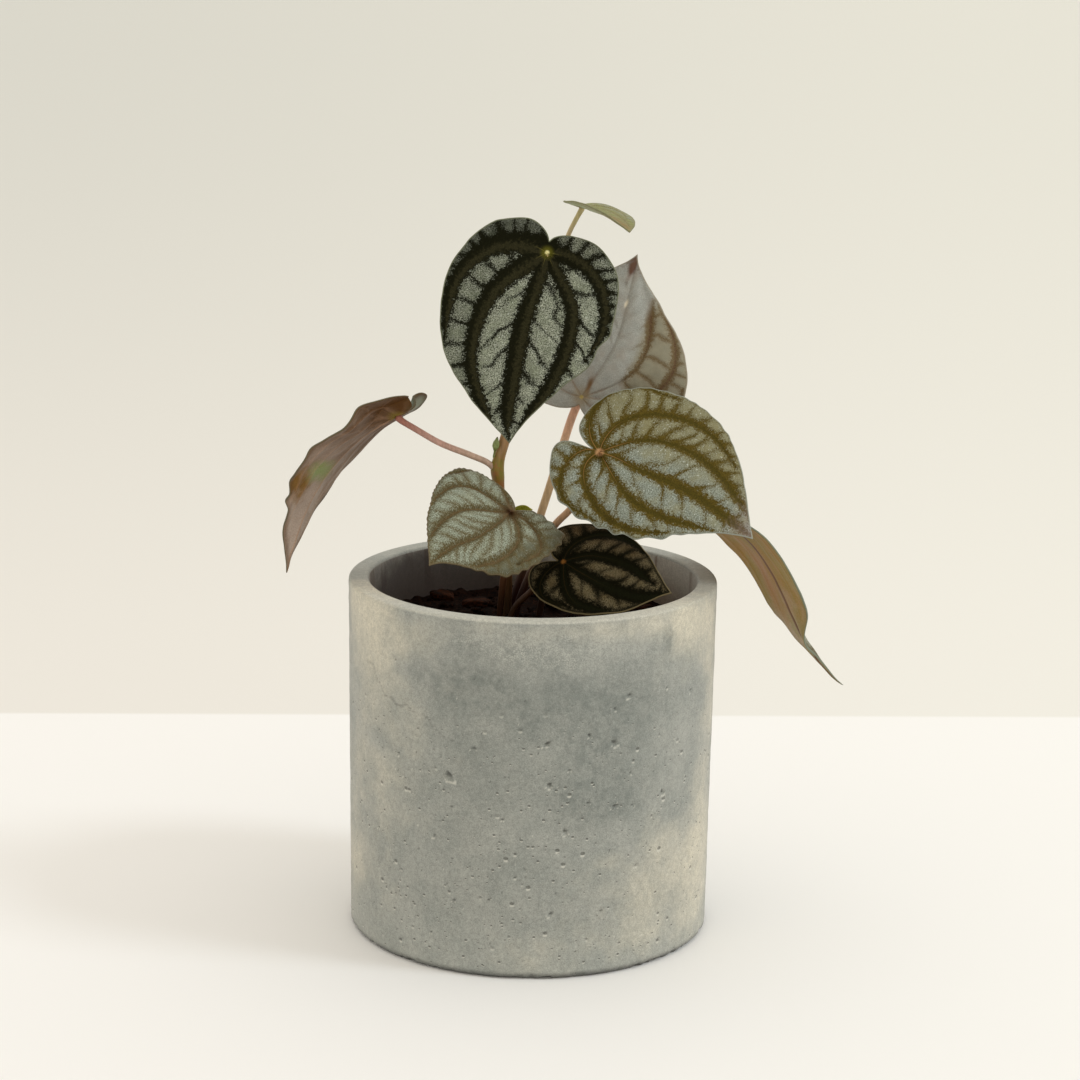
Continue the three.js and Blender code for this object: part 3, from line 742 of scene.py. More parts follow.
def concrete():
    """Grey, with dry buff and wet blue-grey clouds that also hold painted light and shade, an inside
    darker towards the bottom, a painted highlight on the rim's front, bloom, pits in painted shade
    with painted highlights, and a painted contact shadow at the foot.
    """
    cast = Finish("cast_concrete", 0.62, 0.45)
    cast.surface.inputs["Sheen Weight"].default_value = 0.12
    cast.surface.inputs["Sheen Roughness"].default_value = 0.5
    wet_and_shade, dry_and_light, inside = (cast.value(name) for name in ("wet_and_shade", "dry_and_light", "inside"))
    height = cast.value("height")
    sand = cast.noise(0.34, detail=2, roughness=0.8)
    mottle = cast.noise(1.3, detail=5, roughness=0.75)
    soft = cast.noise(12, detail=5, roughness=0.65)
    base = cast.mix(cast.step(soft, 0.3, 0.7), colour(140, 143, 137), colour(156, 157, 150))
    broken = cast.step(cast.noise(3.2, detail=4, roughness=0.65), 0.3, 0.62)
    ragged_dry_and_light = cast.times(dry_and_light, cast.step(broken, 0.0, 1.0, 0.8, 1.0))
    base = cast.mix(cast.times(ragged_dry_and_light, 0.9), base, colour(204, 197, 178))
    ragged_wet_and_shade = cast.times(wet_and_shade, cast.step(broken, 1.0, 0.0, 0.5, 1.0))
    base = cast.mix(cast.times(ragged_wet_and_shade, 0.85), base, colour(114, 119, 114))
    # The inner wall is darker and browner towards the bottom, with brown runs of wet mix, and only
    # the front of the rim is paler, by a painted highlight.
    run = cast.noise(5 * MM, cast.squeezed(0.12), detail=3)
    inner_wall_tone = cast.mix(cast.step(height, 92, 106), colour(126, 112, 96), colour(186, 182, 172))
    inner_wall_tone = cast.mix(cast.step(run, 0.5, 0.62, 0.0, 0.7), inner_wall_tone, colour(110, 88, 74))
    inner_wall_tone = cast.mix(cast.times(cast.value("inner_dark"), 0.9), inner_wall_tone, colour(46, 34, 28))
    base = cast.mix(inside, base, inner_wall_tone)
    # A painted highlight makes the front of the rim paler.
    away = cast.add("SeparateXYZ", {0: cast.place}, 1)
    rim = cast.times(cast.step(height, 106.2, 106.8), cast.math("SUBTRACT", 1.0, inside))
    rim_highlight = cast.times(rim, cast.step(away, -15 * MM, -45 * MM, 0.1, 0.55))
    base = cast.mix(rim_highlight, base, colour(206, 203, 190))
    base = cast.shade(base, cast.step(sand, 0.3, 0.7, 0.82, 1.18))
    base = cast.shade(base, cast.step(mottle, 0.3, 0.7, 0.86, 1.13))
    # Painted light makes the wall lighter towards its foot.
    base = cast.shade(base, cast.step(height, 24, 2, 1.0, 1.12))
    # Pale specks of bloom.
    salt = cast.step(cast.noise(0.42, detail=3, roughness=0.8), 0.48, 0.6)
    bloom = cast.times(cast.value("bloom"), cast.step(cast.noise(3, detail=3), 0.3, 0.6))
    bloom = cast.times(salt, cast.times(bloom, 0.6))
    base = cast.mix(bloom, base, colour(194, 194, 184))
    # Pits and bubbles: painted shade inside, with a painted highlight on the lip under each. The foot
    # is darkened by a painted contact shadow.
    inner_pits, lit_lips = small_pits(cast)
    inner_pits = cast.times(inner_pits, cast.math("SUBTRACT", 1.0, inside))
    base = cast.mix(cast.times(inner_pits, 0.6), base, colour(74, 74, 66))
    base = cast.mix(cast.times(lit_lips, 0.5), base, colour(222, 220, 208))
    base = cast.shade(base, cast.step(cast.value("pit_shade"), 0.1, 0.9, 1.0, 0.4))
    base = cast.mix(cast.step(cast.value("lit_lip"), 0.2, 1.0, 0.0, 0.5), base, colour(222, 220, 208))
    base = cast.shade(base, cast.step(cast.value("flake"), 0.2, 1.0, 1.0, 0.72))
    # A painted contact shadow darkens the foot.
    base = cast.shade(base, cast.step(height, 2.6, 0.5, 1.0, 0.35))
    grain = cast.bump(sand, 0.12, 0.7, cast.bump(mottle, 0.2, 0.6))
    grain = cast.bump(inner_pits, -0.4, 0.8, grain)
    return cast.paint(base, grain)


pot_grid, pot_values = pot_rings()
place_piece(skin("pot_casting", pot_grid, pot_values), [concrete()], "concrete", "pot")

# %% [markdown]
# ## Potting mix and bark
# The mix fills the pot to 15.5 mm below the rim. It is a lumpy bed of peat and coir, nearly black when
# moist, with crumbs lying on it and flakes of orange-brown bark. The bed is a polar grid whose
# height is a sum of noises, and the crumbs are many little lumps in one mesh.

# %% The bed of potting mix
MIX_TOP = float(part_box("potting_mix")[1][2]) / MM
MIX_FOOT = FLOOR + 0.3
MIX_COLUMNS = 300


def bed_height(x, y):
    """How far the bed stands above its level at (x, y): four sizes of lumps added together."""
    at = np.stack([x, y, np.full_like(x, 3.0)], axis=-1)
    lumps = 1.0 * smooth_noise(at, 9, 61) + 0.8 * smooth_noise(at, 4, 62)
    return lumps + 0.5 * smooth_noise(at, 1.9, 63) + 0.28 * smooth_noise(at, 0.9, 64)


def inner_radius(height):
    """The radius of the pot's hollow at a height."""
    top = POT_HEIGHT - RIM_ROUND
    return MOUTH_RADIUS - INNER_DRAFT * (top - height) / (top - FLOOR)


def bed_rings():
    """Rings out over the top, where z = level + bed_height(x, y), down the pot's inner wall and in
    under the bottom."""
    turn = np.linspace(0, 2 * math.pi, MIX_COLUMNS, endpoint=False)
    edge = inner_radius(MIX_TOP) - 0.1
    radii = edge * np.concatenate([np.linspace(0.01, 0.99, 96), [1.0]])
    x = radii[:, None] * np.cos(turn)
    y = radii[:, None] * np.sin(turn)
    top = np.stack([x, y, MIX_TOP + bed_height(x, y)], axis=-1)
    foot = inner_radius(MIX_FOOT) - 0.2
    below = [(edge - 0.3, MIX_TOP - 6), (foot, MIX_FOOT), (foot * 0.5, MIX_FOOT)]
    under = np.array([[(r * math.cos(t), r * math.sin(t), z) for t in turn] for r, z in below])
    return np.concatenate([top, under])


def moist_mix():
    """Nearly black peat, matt, with brown fibres."""
    mix = Finish("moist_mix", 0.85, 0.04)
    lumps = mix.noise(2.2, detail=5, roughness=0.7)
    fibre = mix.noise(0.8, detail=3, roughness=0.8)
    tone = mix.mix(mix.step(lumps, 0.35, 0.7), colour(6, 3, 2), colour(32, 17, 10))
    tone = mix.mix(mix.step(fibre, 0.6, 0.74), tone, colour(88, 48, 26))
    return mix.paint(tone, mix.bump(fibre, 0.5, 0.8, mix.bump(lumps, 0.8, 0.7)))


mix_finish = moist_mix()
place_piece(skin("mix_bed", bed_rings()), [mix_finish], "potting_mix", "potting_mix")

# %% Crumbs on the bed
CRUMBS = 420
CRUMB_ROWS = 4
CRUMB_COLUMNS = 6


def crumb_lumps():
    """Lumps that are spheres with each point pushed out or in by noise, stretched, turned and set
    half into the bed: all of them in one array of shape (lump, ring, column, 3)."""
    random = np.random.default_rng(17)
    spread = (inner_radius(MIX_TOP) - 2.5) * np.sqrt(random.uniform(0, 1, CRUMBS))
    turn = random.uniform(0, 2 * math.pi, CRUMBS)
    x = spread * np.cos(turn)
    y = spread * np.sin(turn)
    size = 0.45 + 1.5 * random.beta(1.2, 3.5, CRUMBS)
    z = MIX_TOP + bed_height(x, y) + 0.25 * size
    lean = np.linspace(0.12, math.pi - 0.12, CRUMB_ROWS)
    around = np.linspace(0, 2 * math.pi, CRUMB_COLUMNS, endpoint=False)
    across = np.outer(np.sin(lean), np.cos(around))
    away = np.outer(np.sin(lean), np.sin(around))
    up = np.repeat(np.cos(lean)[:, None], CRUMB_COLUMNS, 1)
    ball = np.stack([across, away, up], axis=-1)
    lumps = ball * random.uniform(0.7, 1.25, (CRUMBS, CRUMB_ROWS, CRUMB_COLUMNS, 1))
    lumps = lumps * random.uniform([0.6, 0.6, 0.4], [1.5, 1.0, 0.8], (CRUMBS, 1, 1, 3))
    lumps = turned(lumps, random.uniform(0, 2 * math.pi, CRUMBS)[:, None, None])
    return lumps * size[:, None, None, None] + np.stack([x, y, z], axis=-1)[:, None, None, :]


def crumb_mesh():
    """All crumbs as one mesh: each lump's own skin, with its corner numbers moved along."""
    lumps = crumb_lumps()
    each = CRUMB_ROWS * CRUMB_COLUMNS + 2
    points = np.concatenate([with_ends(lump) for lump in lumps])
    quads, triangles = ring_faces(CRUMB_ROWS, CRUMB_COLUMNS)
    shift = each * np.arange(CRUMBS)[:, None, None]
    quads = (quads + shift).reshape(-1, 4)
    triangles = (triangles + shift).reshape(-1, 3)
    return make_mesh("mix_crumbs", points, quads, triangles, {})


place_piece(crumb_mesh(), [mix_finish], "potting_mix")

# %% [markdown]
# Each bark flake is a slab torn along the grain: long, thin, with ragged corners, layered edges
# and a coarse fibrous face.

# %% Bark flakes
# (x, y, half length, degrees turned)
FLAKES = [
    (-17, 22, 4.4, 20), (7, 24, 4.0, 75), (-28, 30, 4.8, 130), (20, 26, 4.6, 160), (33, 17, 3.8, 40),
    (-38, 8, 4.2, 100), (-27, -12, 5.0, 15), (-9, -24, 4.2, 60), (13, -14, 4.6, 145), (32, -10, 4.2, 85),
    (18, -34, 4.8, 30), (-14, -38, 4.0, 170),
]
FLAKE_THICKNESS = 2.2
FLAKE_COLUMNS = 72


def flake_rings(number, x, y, half, turn):
    """A slab whose outline is half (1 + 0.16 sin 3a + 0.1 cos 5a + noise), slimmer across the grain,
    with a rounded edge, |cos|^0.35 wide at the height |sin|^0.6, and a rough face."""
    around = np.linspace(0, 2 * math.pi, FLAKE_COLUMNS, endpoint=False)
    ragged = 0.16 * np.sin(3 * around + half) + 0.1 * np.cos(5 * around + turn)
    circle = np.stack([np.cos(around), np.sin(around), np.full_like(around, number)], axis=-1)
    ragged = ragged + 0.10 * smooth_noise(circle, 0.22, 70 + number)
    radius = half * (1 + ragged)
    lean = np.linspace(-math.pi / 2, math.pi / 2, 22)[1:-1]
    squash = np.abs(np.cos(lean)) ** 0.35
    level = np.sign(np.sin(lean)) * np.abs(np.sin(lean)) ** 0.6
    face = np.linspace(0.15, 1, 8)
    shares = np.concatenate([squash[0] * face[:-1], squash, squash[-1] * face[:-1][::-1]])
    heights = np.concatenate([np.full(7, level[0]), level, np.full(7, level[-1])])
    long = shares[:, None] * radius * np.cos(around)
    slim = 0.62 * shares[:, None] * radius * np.sin(around)
    thick = np.repeat(heights[:, None] * FLAKE_THICKNESS / 2, FLAKE_COLUMNS, 1)
    rings = np.stack([long, slim, thick], axis=-1)
    grain = rings * np.array([0.35, 1.6, 1.6])
    rings = rings * (1 + 0.05 * smooth_noise(grain, 0.7, 90 + number))[..., None]
    rings[..., 2] += 0.22 * smooth_noise(grain, 1.1, 80 + number)
    lies_at = np.array([x, y, MIX_TOP + 0.3 + FLAKE_THICKNESS / 2])
    return turned(rings, math.radians(turn)) + lies_at, {"grain": grain}


def torn_bark():
    """Orange-brown fibres over dark, with a bump that runs along the grain."""
    bark = Finish("torn_bark", 0.8, 0.06)
    grain = bark.vector("grain")
    fibres = bark.noise(0.7, grain, detail=5, roughness=0.7)
    patches = bark.noise(2.5, grain, detail=2)
    tone = bark.mix(bark.step(fibres, 0.3, 0.7), colour(12, 6, 3), colour(66, 33, 16))
    tone = bark.mix(bark.step(patches, 0.5, 0.7), tone, colour(20, 10, 6))
    return bark.paint(tone, bark.bump(fibres, 0.5, 0.9))


bark_finish = torn_bark()
for number, (x, y, half_length, turn) in enumerate(FLAKES, 1):
    flake_grid, flake_values = flake_rings(number, x, y, half_length, turn)
    flake = skin(f"bark_flake_{number}", flake_grid, flake_values)
    place_piece(flake, [bark_finish], "bark", f"bark_chip_{number}")

# %% [markdown]
# ## Stems and leaf stalks
# A peperomia's stem is fleshy and smooth, thicker at the nodes where leaf stalks leave it. Each
# stalk swells a little at its foot and again just under its blade. A round profile is carried along
# a smooth curve, and the radius is a function of how far along it is.
# The curves are the CAD rods' own centre lines. Each runs on a little into what it grows from and
# into the leaf that it carries, as it does on the living plant.

# %% Routes of the stems
ROOTED = 75.5
MAIN_STEM = [
    (-8.4, 7.4, ROOTED), (-8, 7, 93.5), (-7.9, 6.5, 107), (-9.6, 6, 122.6), (-10.8, 6, 134.8),
    (-11.1, 6, 139.1), (-9.1, 6, 146.7), (-4.7, 6.5, 162.1), (-0.4, 7.8, 178),
]
# Each stalk: its radius, its points from foot to blade, and its colours from foot to blade.
STALKS = {
    "top": (
        1.0,
        [(-1.2, 7.4, 172.5), (-1.8, 7, 174.4), (0, 4.6, 181), (2, 1.6, 192), (2.6, -0.8, 201),
         (2.7, -3, 204.4)],
        [(150, 126, 84), (158, 134, 92), (170, 150, 100)],
    ),
    "right": (
        1.1,
        [(-5.2, 8.2, ROOTED), (-5, 8.4, 93.3), (-0.9, 8.6, 105.7), (3.5, 8.4, 116), (6.7, 7.4, 121.4),
         (11.1, 4.4, 126.9), (16, -1, 136.8), (18.6, -8, 145), (18.9, -12, 147.3)],
        [(88, 42, 26), (206, 166, 130), (212, 170, 136)],
    ),
    "front": (
        1.0,
        [(-10.4, 2.2, ROOTED), (-9.8, 2, 94.8), (-8.7, 0, 107.1), (-7.6, -4, 117.5), (-7, -9, 126.4),
         (-7, -12, 128.9)],
        [(100, 60, 36), (136, 92, 62), (120, 84, 60)],
    ),
    "low": (
        0.95,
        [(-6.9, 1.4, ROOTED), (-6.1, 1.5, 95), (-0.5, -0.4, 102.3), (4.5, -2, 108), (8.4, -4.6, 111.6),
         (9, -6, 112.8)],
        [(112, 72, 46), (128, 86, 54), (110, 74, 44)],
    ),
    "back": (
        1.25,
        [(-8.4, 13, ROOTED), (-7.4, 13.4, 92), (-4, 13.6, 102.4), (2, 14.4, 122.5), (7.6, 16.4, 140.8),
         (11, 18, 152), (13.2, 16.6, 157.6), (13.8, 14, 158.9)],
        [(84, 38, 24), (206, 178, 138), (226, 178, 152)],
    ),
    "left": (
        0.95,
        [(-10.4, 6.2, 136.4), (-11.4, 6, 137.6), (-14, 5, 140.2), (-19.3, 4, 142.7), (-28.2, 2, 146.6),
         (-35.6, 1, 151), (-39.6, 0, 153.6), (-41.1, 0, 155)],
        [(186, 158, 138), (188, 150, 136), (156, 102, 88)],
    ),
    "drooping": (
        1.0,
        [(2, 11.5, ROOTED), (2.2, 11.6, 93), (5.4, 11.8, 104), (14.1, 12, 113.4), (26, 12, 118.6),
         (39.4, 11, 120.4), (47, 9.6, 121.4), (50.6, 9, 123), (51.4, 9, 124.4)],
        [(104, 66, 44), (176, 130, 106), (176, 128, 100)],
    ),
    "crown": (
        0.7,
        [(-0.4, 8.2, 176.4), (0.1, 8.6, 177.8), (1, 8.9, 182.6), (4.6, 9.4, 194.8), (9.1, 10, 208.6),
         (12.4, 10, 215.2), (13, 10, 216.4)],
        [(178, 158, 132), (196, 178, 152), (194, 182, 130)],
    ),
}
ROUND_COLUMNS = 28


# %% A round profile carried along a curve
def carried_round(route, radii):
    """Rings round a route: centre + radius (cos a side + sin a lift), where side is the world axis
    that the route runs along least, made square to it, and lift completes the three."""
    along = np.gradient(route, axis=0)
    along = along / np.linalg.norm(along, axis=1, keepdims=True)
    axis = np.eye(3)[np.abs(along).max(0).argmin()]
    side = axis - (along @ axis)[:, None] * along
    side = side / np.linalg.norm(side, axis=1, keepdims=True)
    lift = np.cross(along, side)
    turn = np.linspace(0, 2 * math.pi, ROUND_COLUMNS, endpoint=False)
    spoke = np.cos(turn)[None, :, None] * side[:, None] + np.sin(turn)[None, :, None] * lift[:, None]
    return route[:, None] + radii[..., None] * spoke


def stem_rings(points, radius, swellings, rows, seed):
    """A stem: radius (1 + sum of amount exp(-((share - at) / width)^2)) with faint ridges along it
    and ends that are half spheres. Its values are the share of the way along and the height."""
    route = curve_through(points, rows)
    share = np.linspace(0, 1, rows)
    grown = np.ones(rows)
    for at, width, amount in swellings:
        grown = grown + amount * np.exp(-(((share - at) / width) ** 2))
    reached = arc_lengths(route)
    from_end = np.minimum(reached, reached[-1] - reached)
    into_end = np.minimum(from_end / radius, 1)
    tip = np.sqrt(np.clip(1 - (1 - into_end) ** 2, 0.02, 1))
    rings = carried_round(route, (radius * grown * tip)[:, None])
    uneven = 0.035 * smooth_noise(rings, 5, seed)
    uneven = uneven + 0.02 * smooth_noise(rings * [2, 2, 0.5], 1.4, seed + 1)
    rings = route[:, None] + (rings - route[:, None]) * (1 + uneven)[..., None]
    return rings, {"share": np.repeat(share[:, None], ROUND_COLUMNS, 1), "height": rings[..., 2]}


def fleshy(name, tones):
    """A smooth, slightly glossy stalk: three colours along it, pale streaks and fine dots, and darker
    down in the pot by painted shade."""
    flesh = Finish(name, 0.45, 0.25)
    share = flesh.value("share")
    tone = flesh.mix(flesh.step(share, 0.26, 0.6), colour(*tones[0]), colour(*tones[1]))
    tone = flesh.mix(flesh.step(share, 0.6, 1.0), tone, colour(*tones[2]))
    streak = flesh.noise(0.7 * MM, flesh.squeezed(0.15))
    dots = flesh.noise(0.35, detail=2, roughness=0.7)
    tone = flesh.shade(tone, flesh.step(streak, 0.25, 0.75, 0.84, 1.14))
    tone = flesh.shade(tone, flesh.step(dots, 0.3, 0.7, 0.93, 1.06))
    pot_shade = flesh.step(flesh.value("height"), 96, 118, 0.24, 1.0)
    relief = flesh.bump(streak, 0.08, 0.5, flesh.bump(dots, 0.04, 0.5))
    return flesh.paint(flesh.shade(tone, pot_shade), relief)


# %% The main stem and eight stalks
MAIN_RADIUS = 1.6
MAIN_ROWS = 320
STALK_ROWS = 200
# Swellings are (share along, width, amount): the foot, the node of the left stalk, and the top node.
MAIN_SWELLINGS = [(0.02, 0.05, 0.15), (0.60, 0.035, 0.28), (0.97, 0.03, 0.12)]
STALK_SWELLINGS = [(0.0, 0.06, 0.3), (1.0, 0.05, 0.2)]


def main_stem_flesh():
    """Tan above, orange-brown below the node and olive green at it, and darker down in the pot
    by painted shade.
    """
    flesh = Finish("stem_flesh", 0.42, 0.4)
    height = flesh.value("height")
    tone = flesh.mix(flesh.step(height, 118, 130), colour(120, 84, 48), colour(142, 96, 44))
    tone = flesh.mix(flesh.step(height, 139, 144), tone, colour(158, 122, 80))
    tone = flesh.mix(flesh.step(height, 150, 170), tone, colour(184, 144, 112))
    blotch = flesh.noise(2.2, detail=3)
    band = flesh.times(flesh.step(height, 133, 137), flesh.step(height, 145, 140))
    green = flesh.times(band, flesh.step(blotch, 0.3, 0.6))
    tone = flesh.mix(green, tone, colour(122, 112, 34))
    streak = flesh.noise(0.8 * MM, flesh.squeezed(0.12))
    tone = flesh.shade(tone, flesh.step(streak, 0.25, 0.75, 0.82, 1.16))
    pot_shade = flesh.step(height, 94, 112, 0.28, 1.0)
    return flesh.paint(flesh.shade(tone, pot_shade), flesh.bump(streak, 0.1, 0.5))


stem_grid, stem_values = stem_rings(MAIN_STEM, MAIN_RADIUS, MAIN_SWELLINGS, MAIN_ROWS, 101)
place_piece(skin("stem_main", stem_grid, stem_values), [main_stem_flesh()], "stem", "main_stem")
for number, (name, (radius, points, tones)) in enumerate(STALKS.items()):
    stalk_grid, stalk_values = stem_rings(points, radius, STALK_SWELLINGS, STALK_ROWS, 110 + 2 * number)
    stalk = skin(f"stalk_{name}", stalk_grid, stalk_values)
    place_piece(stalk, [fleshy(f"{name}_stalk_flesh", tones)], "petiole", f"{name}_petiole")

# %% [markdown]
# ## Leaf blades
# A blade is a heart with its stalk at the notch. Its outline is three cubic curves on each side:
# from the tip to the widest point, round the lobe, and into the notch. The blade is filled with
# rings that shrink towards the stalk's point, and the same rings carry the underside, so the grid
# is one closed skin with the margin as its rim.
# Out of its plane a blade arches along the midrib, sinks at the margins, twists and folds. The
# veins are pressed into the upper face, and the panels between them swell like a quilt.

